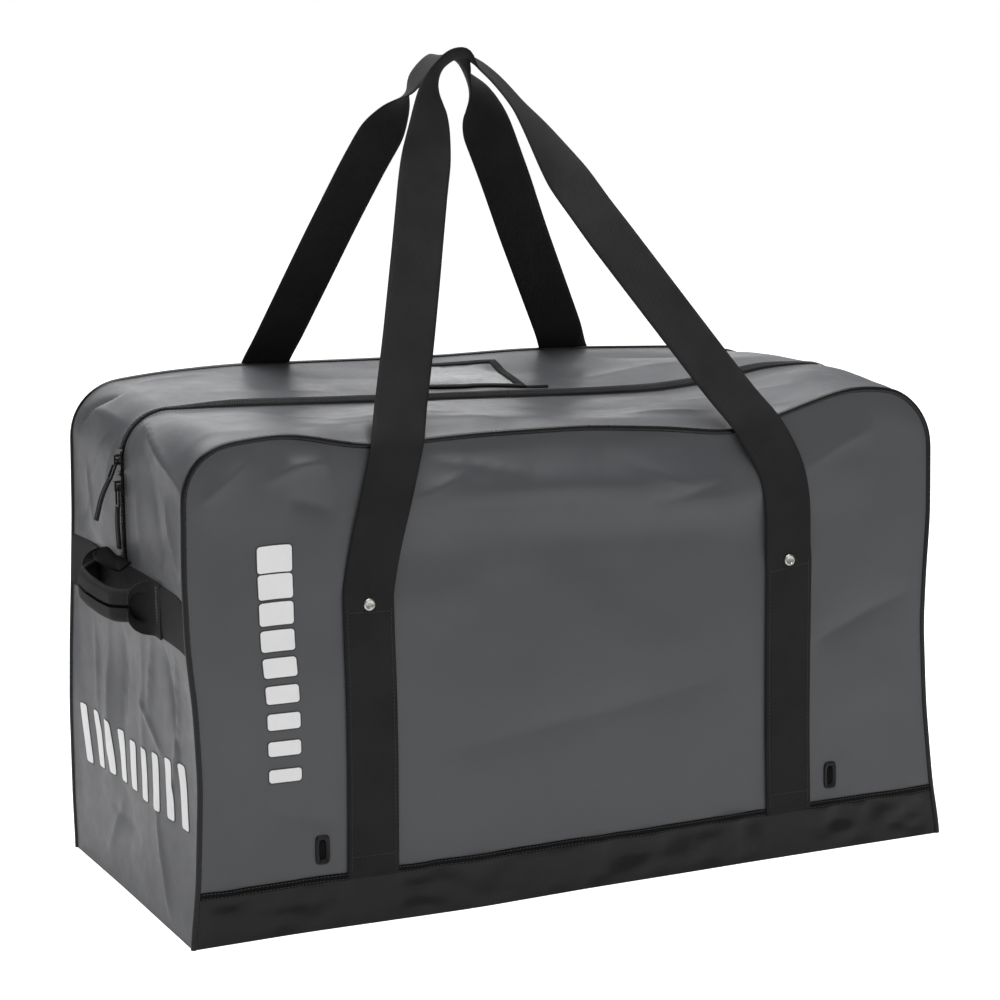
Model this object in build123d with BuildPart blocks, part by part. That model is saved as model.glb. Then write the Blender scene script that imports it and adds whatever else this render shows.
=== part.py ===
"""Hockey equipment bag: a coated-fabric box bag with a two-way zipper over the top, two carry
loops riveted to the long sides, a folded grip on each end and an address window.

X runs along the bag, the front faces -Y and Z is up. The origin is the middle of the footprint,
on the floor. Each sewn panel is a thin plate of its own, standing where the fabric stands.
"""
from build123d import *
import math
import os

# Overall sizes, in millimetres
bag_length = 790.0
bag_width = 328.0
bag_height = 464.0
corner_radius = 46.0
panel_t = 2.0
piping_d = 5.0
seam_gap = 0.3

# Black base band and its hem tape
band_height = 48.0
hem_height = 7.0
hem_t = 1.0

# Seam binding inside the piped edges
binding_w = 10.0
binding_t = 4.7

# Zipper over the top and down both ends
zip_drop = 140.0
zip_opening = 12.0
coil_w = 4.2
coil_gap = 1.6
coil_proud = 1.0
tape_w = 17.0
tape_t = 1.0
flap_gap = 1.0
end_tab_l = 26.0
end_tab_w = 34.0
end_tab_t = 2.4

# Sliders on the left end
slider_l = 20.0
slider_w = 13.0
slider_r = 3.0
slider_wing_t = 2.2
slider_neck_l = 7.0
slider_clearance = 0.35
slider_inner_clearance = 1.4
slider_spacing = 24.5
bail_l = 9.0
bail_w = 5.0
bail_t = 1.6
bail_window = 3.4

# Finger pulls: a ring through the bail and a folded fabric tab
ring_bar = 1.8
ring_clearance = 0.6
ring_l = 20.0
pull_tab_l = 40.0
pull_tab_w = 8.5
pull_tab_t = 3.0
upper_pull_lean = 22.0

# Carry loops: webbing, fold line over the rivets and the meeting point above the bag
strap_w = 50.0
strap_t = 2.5
strap_spacing = 446.0
rivet_height = 310.0
fold_above_rivet = 12.0
loop_rise = 322.0
loop_top_x = -62.0
loop_half_gap = 3.0
front_cross_x = (-195.0, 188.0)
back_cross_x = (-187.0, 145.0)
edge_clearance = 4.0

# Rivets through the webbing and the panel
rivet_cap_d = 11.0
rivet_cap_t = 2.0
rivet_post_d = 4.0
burr_d = 10.0
burr_t = 1.2

# Vent eyelets above the band
eyelet_spacing = 548.0
eyelet_z = 76.0
eyelet_w = 14.0
eyelet_l = 27.0
eyelet_corner = 3.5
eyelet_slot_w = 7.5
eyelet_slot_l = 19.0
eyelet_lip = 2.2
eyelet_wall = 1.5
eyelet_clearance = 0.2
washer_t = 1.2

# Address window on the rear half of the top
window_x = -14.0
window_y = 84.0
window_w = 112.0
window_d = 100.0
window_binding_w = 9.0
window_binding_t = 1.6
vinyl_t = 0.5
card_t = 0.4
card_margin = 6.0

# Webbing across both ends, with a folded grip
end_webbing_t = 2.0
grip_stitch_y = 92.0
grip_foot = 14.0
grip_reach = 30.0
grip_flat_y = 50.0
grip_h = 25.0
grip_t = 5.0

# Worked out from the sizes above
half_length = bag_length / 2
half_width = bag_width / 2
gusset_half_width = half_width - piping_d
corner_x = half_length - corner_radius
corner_z = bag_height - corner_radius
zip_end_z = bag_height - zip_drop
zip_half = zip_opening / 2
strap_x = strap_spacing / 2
strap_face_y = half_width + strap_t
fold_z = rivet_height + fold_above_rivet
eyelet_x = eyelet_spacing / 2
webbing_face_x = half_length + end_webbing_t
end_webbing_z = zip_end_z - end_tab_t - 2 * seam_gap - strap_w / 2
both_straps = ((-strap_x, rivet_height), (strap_x, rivet_height))
both_eyelets = ((-eyelet_x, eyelet_z), (eyelet_x, eyelet_z))
sides = (("front", -1), ("back", 1))
ends = (("left", -1), ("right", 1))
halves = (("front", -1), ("rear", 1))


def arch_face(inset, floor):
    """The bag's outline seen from the front, shrunk by inset: upright sides, top corners
    rounded about the same centres, and cut level at the height floor."""
    side = half_length - inset
    top = bag_height - inset
    with BuildSketch() as face:
        with BuildLine():
            Line((-side, floor), (-side, corner_z))
            ThreePointArc((-side, corner_z), corner_point(-1, inset), (-corner_x, top))
            Line((-corner_x, top), (corner_x, top))
            ThreePointArc((corner_x, top), corner_point(1, inset), (side, corner_z))
            Polyline((side, corner_z), (side, floor), (-side, floor))
        make_face()
    return face.sketch


def corner_point(sign, inset):
    """The middle of a rounded top corner, shrunk by inset."""
    reach = (corner_radius - inset) * math.sin(math.radians(45))
    return (sign * (corner_x + reach), corner_z + reach)


def corner_region(sign):
    """The part of the front view that holds one top corner, down to the end of the zipper."""
    reach = half_length + corner_radius - corner_x
    rise = bag_height + corner_radius - zip_end_z
    with BuildSketch() as region:
        with Locations((sign * (corner_x + reach / 2), zip_end_z + rise / 2)):
            Rectangle(reach, rise)
    return region.sketch


def facing_y(y):
    """An upright plane across the bag at y, drawn in X and Z. Its solids grow towards -Y."""
    return Plane.XZ.offset(-y)


def write(part, label):
    """Name a finished piece and save it."""
    part.label = label
    export_step(part, f"parts/{label}.step")


os.makedirs("parts", exist_ok=True)

# --- Base: black fabric underneath and a band of it along the front and the back --------------
with BuildPart() as bottom_panel:
    with BuildSketch(Plane.XY):
        Rectangle(bag_length - 2 * panel_t, bag_width - 2 * panel_t)
    extrude(amount=panel_t)
write(bottom_panel.part, "bottom_panel")

for side, sign in sides:
    with BuildPart() as band:
        with BuildSketch(facing_y(sign * half_width)):
            with Locations((0, band_height / 2)):
                Rectangle(bag_length - 2 * piping_d, band_height)
        extrude(amount=sign * panel_t)
    write(band.part, f"{side}_band")

    # The hem covers the seam between the band and the panel, and stops at the webbing
    with BuildPart() as hem:
        with BuildSketch(facing_y(sign * half_width)):
            with Locations((0, band_height)):
                Rectangle(bag_length - 2 * piping_d, hem_height)
            with Locations((-strap_x, band_height), (strap_x, band_height)):
                Rectangle(strap_w, 2 * hem_height, mode=Mode.SUBTRACT)
        extrude(amount=-sign * hem_t)
    write(hem.part, f"{side}_band_hem")

# --- Front and back panels: grey, pierced for the rivets and the vent eyelets -----------------
barrel_w = eyelet_slot_w + 2 * eyelet_wall
barrel_l = eyelet_slot_l + 2 * eyelet_wall
for side, sign in sides:
    with BuildPart() as panel:
        with BuildSketch(facing_y(sign * half_width)):
            add(arch_face(piping_d, band_height))
            with Locations(both_straps):
                Circle(rivet_post_d / 2, mode=Mode.SUBTRACT)
            with Locations(both_eyelets):
                SlotOverall(barrel_l + 2 * eyelet_clearance, barrel_w + 2 * eyelet_clearance,
                            rotation=90, mode=Mode.SUBTRACT)
        extrude(amount=sign * panel_t)
    write(panel.part, f"{side}_panel")

# --- End panels: grey, from the floor to the bottom of the zipper -----------------------------
for end, sign in ends:
    with BuildPart() as end_panel:
        with BuildSketch(Plane.YZ.offset(sign * half_length)):
            with Locations((0, zip_end_z / 2)):
                Rectangle(2 * gusset_half_width, zip_end_z)
        extrude(amount=-sign * panel_t)
    write(end_panel.part, f"{end}_end_panel")

# --- Gusset corners: strips beside the zipper that turn from the ends over the top ------------
for end, end_sign in ends:
    for half, sign in halves:
        with BuildPart() as gusset:
            with BuildSketch(facing_y(sign * zip_half)):
                add(arch_face(0, zip_end_z))
                add(arch_face(panel_t, 0), mode=Mode.SUBTRACT)
                add(corner_region(end_sign), mode=Mode.INTERSECT)
            extrude(amount=-sign * (gusset_half_width - zip_half))
        write(gusset.part, f"{end}_{half}_gusset")

# --- Top flaps: the straight stretch of the top, one each side of the zipper ------------------
flap_length = 2 * (corner_x - flap_gap)
flap_depth = gusset_half_width - flap_gap - zip_half
for half, sign in halves:
    with BuildPart() as flap:
        with BuildSketch(Plane.XY.offset(bag_height - panel_t)):
            with Locations((0, sign * (zip_half + flap_depth / 2))):
                Rectangle(flap_length, flap_depth)
        extrude(amount=panel_t)
    write(flap.part, f"{half}_top_flap")

# --- Piping: a round cord in a fabric sleeve along the front and the back edge ----------------
piping_inset = piping_d / 2
piping_side = half_length - piping_inset
piping_top = bag_height - piping_inset
piping_foot = panel_t + seam_gap
for side, sign in sides:
    piping_y = sign * (half_width - piping_inset)
    with BuildPart() as piping:
        with BuildLine(facing_y(piping_y)):
            Line((-piping_side, piping_foot), (-piping_side, corner_z))
            ThreePointArc((-piping_side, corner_z), corner_point(-1, piping_inset), (-corner_x, piping_top))
            Line((-corner_x, piping_top), (corner_x, piping_top))
            ThreePointArc((corner_x, piping_top), corner_point(1, piping_inset), (piping_side, corner_z))
            Line((piping_side, corner_z), (piping_side, piping_foot))
        with BuildSketch(Plane(origin=(-piping_side, piping_y, piping_foot), z_dir=(0, 0, 1))):
            Circle(piping_inset)
        sweep()
    write(piping.part, f"{side}_piping")

# --- Seam binding: tape folded over the raw edges inside both piped seams ---------------------
binding_face = gusset_half_width - seam_gap
wall_face = half_width - panel_t
for side, sign in sides:
    with BuildPart() as binding:
        with BuildSketch(facing_y(sign * binding_face)):
            add(arch_face(panel_t + seam_gap, panel_t))
            add(arch_face(panel_t + seam_gap + binding_t, 0), mode=Mode.SUBTRACT)
        extrude(amount=sign * binding_w)
        with BuildSketch(facing_y(sign * wall_face)):
            add(arch_face(piping_d + seam_gap, panel_t))
            add(arch_face(panel_t + seam_gap + binding_t, 0), mode=Mode.SUBTRACT)
        extrude(amount=sign * (wall_face - binding_face))
    write(binding.part, f"{side}_seam_binding")

# --- Zipper: tapes with a coil along one edge, in halves. The stretch over the top ------------
coil_h = panel_t + coil_proud
for half, sign in halves:
    with BuildPart() as top_zip:
        with BuildSketch(Plane.XY.offset(bag_height - panel_t - tape_t)):
            with Locations((0, sign * (coil_gap + tape_w) / 2)):
                Rectangle(flap_length, tape_w)
        extrude(amount=tape_t)
        with BuildSketch(Plane.XY.offset(bag_height - panel_t)):
            with Locations((0, sign * (coil_gap + coil_w) / 2)):
                Rectangle(flap_length, coil_w)
        extrude(amount=coil_h)
    write(top_zip.part, f"{half}_top_zip")

# The same halves where they turn down the ends, sewn to the gusset corners
for end, end_sign in ends:
    for half, sign in halves:
        with BuildPart() as end_zip:
            with BuildSketch(facing_y(sign * coil_gap / 2)):
                add(arch_face(panel_t, zip_end_z))
                add(arch_face(panel_t + tape_t, zip_end_z - panel_t), mode=Mode.SUBTRACT)
                add(corner_region(end_sign), mode=Mode.INTERSECT)
            extrude(amount=-sign * tape_w)
            with BuildSketch(facing_y(sign * coil_gap / 2)):
                add(arch_face(-coil_proud, zip_end_z))
                add(arch_face(panel_t, zip_end_z - panel_t), mode=Mode.SUBTRACT)
                add(corner_region(end_sign), mode=Mode.INTERSECT)
            extrude(amount=-sign * coil_w)
        write(end_zip.part, f"{end}_{half}_zip")

# Leaf-shaped finger tab under each end of the chain, standing out from the bag
for end, sign in ends:
    root = sign * half_length
    turn = 0 if sign > 0 else 180
    with BuildPart() as end_tab:
        with BuildSketch(Plane.XY.offset(zip_end_z - seam_gap - end_tab_t)):
            with BuildLine():
                Line((root, -end_tab_w / 2), (root, end_tab_w / 2))
                EllipticalCenterArc((root, 0), end_tab_l, end_tab_w / 2, start_angle=turn - 90, arc_size=180)
            make_face()
        extrude(amount=end_tab_t)
    write(end_tab.part, f"{end}_zip_tab")

# --- Sliders: two wings joined by a neck between the coils, with a bail on the outside --------
outer_wing_x = half_length + coil_proud + slider_clearance
inner_wing_x = half_length - panel_t - tape_t - slider_inner_clearance
bail_root_x = outer_wing_x + slider_wing_t
bail_top_x = bail_root_x + bail_window + bail_t
slider_heights = {"upper": corner_z, "lower": corner_z - slider_spacing}
for name, height in slider_heights.items():
    with BuildPart() as slider:
        with BuildSketch(Plane.YZ.offset(-outer_wing_x)):
            with Locations((0, height)):
                RectangleRounded(slider_w, slider_l, slider_r)
        extrude(amount=-slider_wing_t)
        with BuildSketch(Plane.YZ.offset(-inner_wing_x)):
            with Locations((0, height)):
                RectangleRounded(slider_w, slider_l, slider_r)
        extrude(amount=slider_wing_t)
        with BuildSketch(Plane.YZ.offset(-outer_wing_x)):
            with Locations((0, height)):
                Rectangle(coil_gap - 2 * slider_clearance, slider_neck_l)
        extrude(amount=outer_wing_x - inner_wing_x)
        with BuildSketch(Plane.XZ):
            with Locations((-(bail_root_x + bail_top_x) / 2, height)):
                Rectangle(bail_top_x - bail_root_x, bail_l)
            with Locations((-bail_root_x - bail_window / 2, height)):
                Rectangle(bail_window, bail_l - 2 * bail_t, mode=Mode.SUBTRACT)
        extrude(amount=bail_w / 2, both=True)
    write(slider.part, f"{name}_slider")

# --- Pulls: a ring whose upper bar turns in the bail, and a folded tab below it ---------------
pull_pivot_x = bail_root_x + bail_window / 2
ring_half_w = bail_w / 2 + ring_clearance + ring_bar
ring_bottom = -ring_l + ring_bar / 2
pull_leans = {"upper": upper_pull_lean, "lower": 0.0}
for name, lean in pull_leans.items():
    outward = (-math.cos(math.radians(lean)), 0, math.sin(math.radians(lean)))
    hang = Plane(origin=(-pull_pivot_x, 0, slider_heights[name]), x_dir=(0, -1, 0), z_dir=outward)
    with BuildPart() as ring:
        with BuildSketch(hang):
            with Locations((0, (ring_bar / 2 + ring_bottom) / 2)):
                Rectangle(2 * ring_half_w, ring_l)
                Rectangle(2 * (ring_half_w - ring_bar), ring_l - 2 * ring_bar, mode=Mode.SUBTRACT)
        extrude(amount=ring_bar / 2, both=True)
    write(ring.part, f"{name}_pull_ring")

    with BuildPart() as pull_tab:
        with BuildSketch(hang):
            with Locations((0, ring_bottom - pull_tab_l / 2)):
                Rectangle(pull_tab_w, pull_tab_l)
        extrude(amount=pull_tab_t / 2, both=True)
    write(pull_tab.part, f"{name}_pull_tab")

# --- Carry loops: webbing sewn up each side to the rivets, then one free loop -----------------
anchor_bottom = band_height - hem_height / 2
anchor_top = fold_z - seam_gap
anchor_middle = (anchor_bottom + anchor_top) / 2
for side, sign in sides:
    with BuildPart() as anchor:
        with BuildSketch(facing_y(sign * half_width)):
            with Locations((-strap_x, anchor_middle), (strap_x, anchor_middle)):
                Rectangle(strap_w, anchor_top - anchor_bottom)
            with Locations(both_straps):
                Circle(rivet_post_d / 2, mode=Mode.SUBTRACT)
        extrude(amount=-sign * strap_t)
    write(anchor.part, f"{side}_anchor_webbing")



def leg_face(low, high):
    """A stretch of webbing seen flat, centred on the line from low to high, ends level."""
    with BuildSketch() as face:
        with BuildLine():
            Polyline((low[0] - strap_w / 2, low[1]), (low[0] + strap_w / 2, low[1]),
                     (high[0] + strap_w / 2, high[1]), (high[0] - strap_w / 2, high[1]), close=True)
        make_face()
    return face.sketch


# Each leg stands upright past the top edge, then leans in to the meeting point of both loops
bend_z = bag_height + edge_clearance
lean_in = strap_face_y - loop_half_gap
climb = bag_height + loop_rise - bend_z
slope = math.hypot(lean_in, climb)
for (side, sign), cross_x in zip(sides, (front_cross_x, back_cross_x)):
    leaning = Plane(origin=(0, sign * strap_face_y, bend_z), x_dir=(1, 0, 0),
                    z_dir=(0, -climb, -sign * lean_in))
    with BuildPart() as handle:
        for foot_x, edge_x in zip((-strap_x, strap_x), cross_x):
            with BuildSketch(facing_y(sign * strap_face_y)):
                add(leg_face((foot_x, fold_z), (edge_x, bend_z)))
            extrude(amount=sign * strap_t)
            with BuildSketch(leaning):
                add(leg_face((edge_x, 0), (loop_top_x, slope)))
            extrude(amount=sign * strap_t)
    write(handle.part, f"{side}_handle")

# --- Rivets: a domed cap outside, a post through both layers and a burr inside ----------------
for side, sign in sides:
    with BuildPart() as rivets:
        with BuildSketch(facing_y(sign * strap_face_y)):
            with Locations(both_straps):
                Circle(rivet_cap_d / 2)
        extrude(amount=-sign * rivet_cap_t)
        with BuildSketch(facing_y(sign * strap_face_y)):
            with Locations(both_straps):
                Circle(rivet_post_d / 2)
        extrude(amount=sign * (strap_t + panel_t + burr_t))
    write(rivets.part, f"{side}_rivets")

    with BuildPart() as burrs:
        with BuildSketch(facing_y(sign * wall_face)):
            with Locations(both_straps):
                Circle(burr_d / 2)
                Circle(rivet_post_d / 2, mode=Mode.SUBTRACT)
        extrude(amount=sign * burr_t)
    write(burrs.part, f"{side}_rivet_burrs")

# --- Vent eyelets: an oblong flange and barrel, held by a washer inside -----------------------
def eyelet_outline():
    """An upright oblong with its corners cut off."""
    with BuildSketch() as outline:
        Rectangle(eyelet_w, eyelet_l)
        chamfer(outline.vertices(), eyelet_corner)
    return outline.sketch


for side, sign in sides:
    with BuildPart() as eyelets:
        with BuildSketch(facing_y(sign * half_width)):
            with Locations(both_eyelets):
                add(eyelet_outline())
        extrude(amount=-sign * eyelet_lip)
        with BuildSketch(facing_y(sign * half_width)):
            with Locations(both_eyelets):
                SlotOverall(barrel_l, barrel_w, rotation=90)
        extrude(amount=sign * (panel_t + washer_t))
        with BuildSketch(facing_y(sign * (half_width + eyelet_lip))):
            with Locations(both_eyelets):
                SlotOverall(eyelet_slot_l, eyelet_slot_w, rotation=90)
        extrude(amount=sign * (eyelet_lip + panel_t + washer_t), mode=Mode.SUBTRACT)
    write(eyelets.part, f"{side}_eyelets")

    with BuildPart() as washers:
        with BuildSketch(facing_y(sign * wall_face)):
            with Locations(both_eyelets):
                add(eyelet_outline())
                SlotOverall(barrel_l + 2 * eyelet_clearance, barrel_w + 2 * eyelet_clearance,
                            rotation=90, mode=Mode.SUBTRACT)
        extrude(amount=sign * washer_t)
    write(washers.part, f"{side}_eyelet_washers")

# --- Address window: a paper card under clear vinyl, bound to the rear flap with tape ---------
view_w = window_w - 2 * window_binding_w
view_d = window_d - 2 * window_binding_w
window_centre = (window_x, window_y)
with BuildPart() as card:
    with BuildSketch(Plane.XY.offset(bag_height)):
        with Locations(window_centre):
            Rectangle(view_w - 2 * card_margin, view_d - 2 * card_margin)
    extrude(amount=card_t)
write(card.part, "name_card")

with BuildPart() as vinyl:
    with BuildSketch(Plane.XY.offset(bag_height + card_t)):
        with Locations(window_centre):
            Rectangle(view_w, view_d)
    extrude(amount=vinyl_t)
write(vinyl.part, "window_vinyl")

with BuildPart() as window_binding:
    with BuildSketch(Plane.XY.offset(bag_height)):
        with Locations(window_centre):
            Rectangle(window_w, window_d)
            Rectangle(view_w, view_d, mode=Mode.SUBTRACT)
    extrude(amount=window_binding_t)
write(window_binding.part, "window_binding")

# --- End grips: webbing across each end, sewn-down feet and the folded grip between them ------
grip_root_y = grip_stitch_y - grip_foot - seam_gap
for end, sign in ends:
    with BuildPart() as end_webbing:
        with BuildSketch(Plane.YZ.offset(sign * half_length)):
            with Locations((0, end_webbing_z)):
                Rectangle(2 * gusset_half_width, strap_w)
        extrude(amount=sign * end_webbing_t)
    write(end_webbing.part, f"{end}_end_webbing")

    with BuildPart() as feet:
        with BuildSketch(Plane.YZ.offset(sign * webbing_face_x)):
            with Locations((-grip_stitch_y + grip_foot / 2, end_webbing_z),
                           (grip_stitch_y - grip_foot / 2, end_webbing_z)):
                Rectangle(grip_foot, grip_h)
        extrude(amount=sign * grip_t)
    write(feet.part, f"{end}_grip_feet")

    inner_x = webbing_face_x + seam_gap
    outer_x = webbing_face_x + grip_reach
    with BuildPart() as grip:
        with BuildSketch(Plane.XY.offset(end_webbing_z - grip_h / 2)):
            with BuildLine():
                Polyline((sign * inner_x, -grip_root_y), (sign * (inner_x + grip_t), -grip_root_y),
                         (sign * outer_x, -grip_flat_y), (sign * outer_x, grip_flat_y),
                         (sign * (inner_x + grip_t), grip_root_y), (sign * inner_x, grip_root_y),
                         (sign * (outer_x - grip_t), grip_flat_y), (sign * (outer_x - grip_t), -grip_flat_y),
                         close=True)
            make_face()
        extrude(amount=grip_h)
    write(grip.part, f"{end}_grip")
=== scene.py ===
import math
import bpy
import numpy as np
from mathutils import Matrix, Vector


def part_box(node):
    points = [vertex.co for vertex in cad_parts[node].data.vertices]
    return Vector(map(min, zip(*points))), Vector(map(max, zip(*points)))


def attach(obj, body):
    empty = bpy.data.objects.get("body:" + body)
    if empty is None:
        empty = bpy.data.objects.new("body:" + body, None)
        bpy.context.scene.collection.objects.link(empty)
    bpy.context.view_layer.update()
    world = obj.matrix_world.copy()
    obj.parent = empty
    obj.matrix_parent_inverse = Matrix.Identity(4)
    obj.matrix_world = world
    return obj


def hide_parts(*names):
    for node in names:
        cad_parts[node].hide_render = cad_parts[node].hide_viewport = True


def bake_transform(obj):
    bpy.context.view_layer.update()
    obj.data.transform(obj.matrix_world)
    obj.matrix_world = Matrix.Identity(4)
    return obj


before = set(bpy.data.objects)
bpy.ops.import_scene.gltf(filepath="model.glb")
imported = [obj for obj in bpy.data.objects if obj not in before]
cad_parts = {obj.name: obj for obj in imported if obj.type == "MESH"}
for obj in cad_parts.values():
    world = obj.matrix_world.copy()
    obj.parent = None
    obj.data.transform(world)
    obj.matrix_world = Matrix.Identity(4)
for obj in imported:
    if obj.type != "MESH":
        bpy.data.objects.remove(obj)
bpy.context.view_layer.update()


# Camera: a long lens looking down a little on the front and the left end.
camera_data = bpy.data.cameras.new("camera")
camera_data.lens = 94.04
camera_data.sensor_width = 36.0
camera = bpy.data.objects.new("camera", camera_data)
bpy.context.scene.collection.objects.link(camera)
across = np.array((0.8963, -0.4435, 0.0))
upward = np.array((0.0802, 0.1621, 0.9835))
backward = np.cross(across, upward)
camera.matrix_world = Matrix((
    (across[0], upward[0], backward[0], -1.1314),
    (across[1], upward[1], backward[1], -2.2694),
    (across[2], upward[2], backward[2], 0.8141),
    (0.0, 0.0, 0.0, 1.0),
))
bpy.context.scene.camera = camera


# Studio: a pale floor in a white surround, under four soft boxes: a wide one overhead, a small
# one off the left end, one high in front and a wide one low behind. The surround and the floor
# look white to the camera and give the object less light than that.
def soft_box(name, place, aim, size, power):
    """A square area light of that size at place, turned to face aim."""
    data = bpy.data.lights.new(name, "AREA")
    data.size = size
    data.energy = power
    lamp = bpy.data.objects.new(name, data)
    bpy.context.scene.collection.objects.link(lamp)
    away = np.array(place) - np.array(aim)
    away = away / np.linalg.norm(away)
    side = np.cross((0.0, 1.0, 0.05), away)
    side = side / np.linalg.norm(side)
    rise = np.cross(away, side)
    turn = np.eye(4)
    turn[:3, 0], turn[:3, 1], turn[:3, 2], turn[:3, 3] = side, rise, away, place
    lamp.matrix_world = Matrix(turn.tolist())


soft_box("overhead_light", (0.0, 0.3, 2.4), (0.0, 0.0, 0.4), 2.2, 78.0)
soft_box("left_light", (-2.8, 0.9, 1.3), (-0.3, 0.0, 0.25), 1.2, 7.0)
soft_box("front_light", (0.2, -2.3, 3.0), (0.1, 0.0, 0.2), 1.4, 22.0)
soft_box("back_light", (0.9, 3.4, 1.1), (0.0, 0.0, 0.45), 2.4, 26.0)



def glow(tree, to_object, to_camera):
    """A strength that is to_camera for what the camera sees and to_object for other rays."""
    ray = tree.nodes.new("ShaderNodeLightPath")
    choice = tree.nodes.new("ShaderNodeMapRange")
    choice.inputs["To Min"].default_value = to_object
    choice.inputs["To Max"].default_value = to_camera
    tree.links.new(ray.outputs["Is Camera Ray"], choice.inputs["Value"])
    return choice.outputs["Result"]


def new_material(name):
    """A material with nodes, given with its node tree and its shader."""
    material = bpy.data.materials.new(name)
    material.use_nodes = True
    tree = material.node_tree
    return material, tree, tree.nodes["Principled BSDF"]


world = bpy.data.worlds.new("studio")
bpy.context.scene.world = world
world.use_nodes = True
backdrop = world.node_tree.nodes["Background"]
backdrop.inputs["Color"].default_value = (1.0, 1.0, 1.0, 1.0)
world.node_tree.links.new(glow(world.node_tree, 0.22, 1.0), backdrop.inputs["Strength"])
bpy.context.scene.view_settings.view_transform = "Standard"

floor_mesh = bpy.data.meshes.new("floor")
floor_mesh.from_pydata([(-9, -9, 0), (9, -9, 0), (9, 9, 0), (-9, 9, 0)], [], [(0, 1, 2, 3)])
studio_floor = bpy.data.objects.new("floor", floor_mesh)
bpy.context.scene.collection.objects.link(studio_floor)
floor_paint, floor_tree, floor_shader = new_material("floor_paint")
floor_shader.inputs["Base Color"].default_value = (0.7, 0.7, 0.7, 1.0)
floor_shader.inputs["Roughness"].default_value = 0.9
floor_shader.inputs["Specular IOR Level"].default_value = 0.1
floor_shader.inputs["Emission Color"].default_value = (1.0, 1.0, 1.0, 1.0)
floor_tree.links.new(glow(floor_tree, 0.30, 1.0), floor_shader.inputs["Emission Strength"])
floor_mesh.materials.append(floor_paint)


# Front panel and black base band: one face of coated fabric 790 mm long, cut with round top
# corners and sewn to the ends and the top along a piped edge. Loaded, its top edge sags
# between the corners and its foot spreads. All lengths in this file's sections are in mm.
half_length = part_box("front_piping")[1][0] * 1000.0
half_width = -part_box("front_piping")[0][1] * 1000.0
top_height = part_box("front_piping")[1][2] * 1000.0
band_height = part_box("front_band")[1][2] * 1000.0
corner = 46.0
corner_x = half_length - corner
corner_z = top_height - corner
cloth_t = 0.9


def smoothstep(low, high, value):
    """0 below low, 1 above high, with an even S curve between."""
    t = np.clip((value - low) / (high - low), 0.0, 1.0)
    return t * t * (3.0 - 2.0 * t)


def soften(values, spread):
    """Gaussian blur along the first axis, spread in cells, with every row of weights
    adding up to one so that the ends keep their level."""
    count = np.arange(len(values))
    weight = np.exp(-((count[:, None] - count[None, :]) ** 2) / (2.0 * spread * spread))
    return (weight / weight.sum(1)[:, None]) @ values


def draped(stations, rails, heights):
    """A function of (along, across): straight lines between the heights given at each
    station of each rail, softened both ways and read back between the cells."""
    along = np.linspace(stations[0], stations[-1], 201)
    across_bag = np.linspace(rails[0], rails[-1], 121)
    rows = np.array([np.interp(along, stations, row) for row in heights])
    rows = soften(rows.T, 4.0).T
    filled = np.array([np.interp(across_bag, rails, column) for column in rows.T]).T
    filled = soften(filled, 2.2)

    def read(u, v):
        i = np.clip(np.interp(u, along, np.arange(201.0)), 0.0, 199.999)
        j = np.clip(np.interp(v, across_bag, np.arange(121.0)), 0.0, 119.999)
        a, b = i.astype(int), j.astype(int)
        s, t = i - a, j - b
        low = filled[b, a] * (1 - s) + filled[b, a + 1] * s
        high = filled[b + 1, a] * (1 - s) + filled[b + 1, a + 1] * s
        return low * (1 - t) + high * t

    return read


top_stations = (-400, -355, -300, -222, -110, 0, 90, 166, 233, 290, 340, 400)
top_rails = (-170, -163, -146, 0, 90, 164, 170)
top_sag = draped(top_stations, top_rails, (
    (-15, -12, -6, -27, -22, -22, -30, -41, -20, -3, -5, -24),
    (-15, -12, -6, -27, -22, -22, -30, -41, -20, -3, -5, -24),
    (-5, -5, -3, -6, -6, -13, -19, -28, -14, -3, -2, -10),
    (0, -3, -4, -7, -11, -14, -17, -18, -13, -2, 0, -3),
    (0, 2, 3, 1, -2, -5, -7, -6, -3, 0, 0, -2),
    (-3, 3, 9, 13, 10, 8, 10, 9, 5, 2, -4, -10),
    (-3, 3, 9, 13, 10, 8, 10, 9, 5, 2, -4, -10),
))
end_levels = (0, 54, 147, 217, 276, 345, 407, 470)
end_rails = (-170, -164, -60, 30, 110, 164, 170)
left_cave = draped(end_levels, end_rails, (
    (-1, 6, 10, 7, 1, -1, 0, 0),
    (-1, 6, 10, 7, 1, -1, 0, 0),
    (-1, 2, 6, 6, 3, 1, 0, 0),
    (-1, 0, 3, 4, 3, 0, 0, 0),
    (-2, -3, -2, 1, 3, 2, 2, 3),
    (-3, -5, -6, -4, -1, 2, 3, 3),
    (-3, -5, -6, -4, -1, 2, 3, 3),
))
right_cave = draped(end_levels, end_rails, (
    (-7, 1, 8, 12, 11, 8, 9, 9),
    (-7, 1, 8, 12, 11, 8, 9, 9),
    (-3, -1, 5, 8, 6, 2, 1, 2),
    (0, -2, 4, 6, 3, 0, 0, 0),
    (1, 0, 3, 4, 3, 1, 1, 2),
    (-2, -4, 1, 5, 4, 3, 4, 5),
    (-2, -4, 1, 5, 4, 3, 4, 5),
))
front_levels = (0, 50, 130, 230, 330, 400, 440, 470)
front_stations = (-400, -290, -200, -120, 0, 110, 180, 250, 310, 400)
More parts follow.
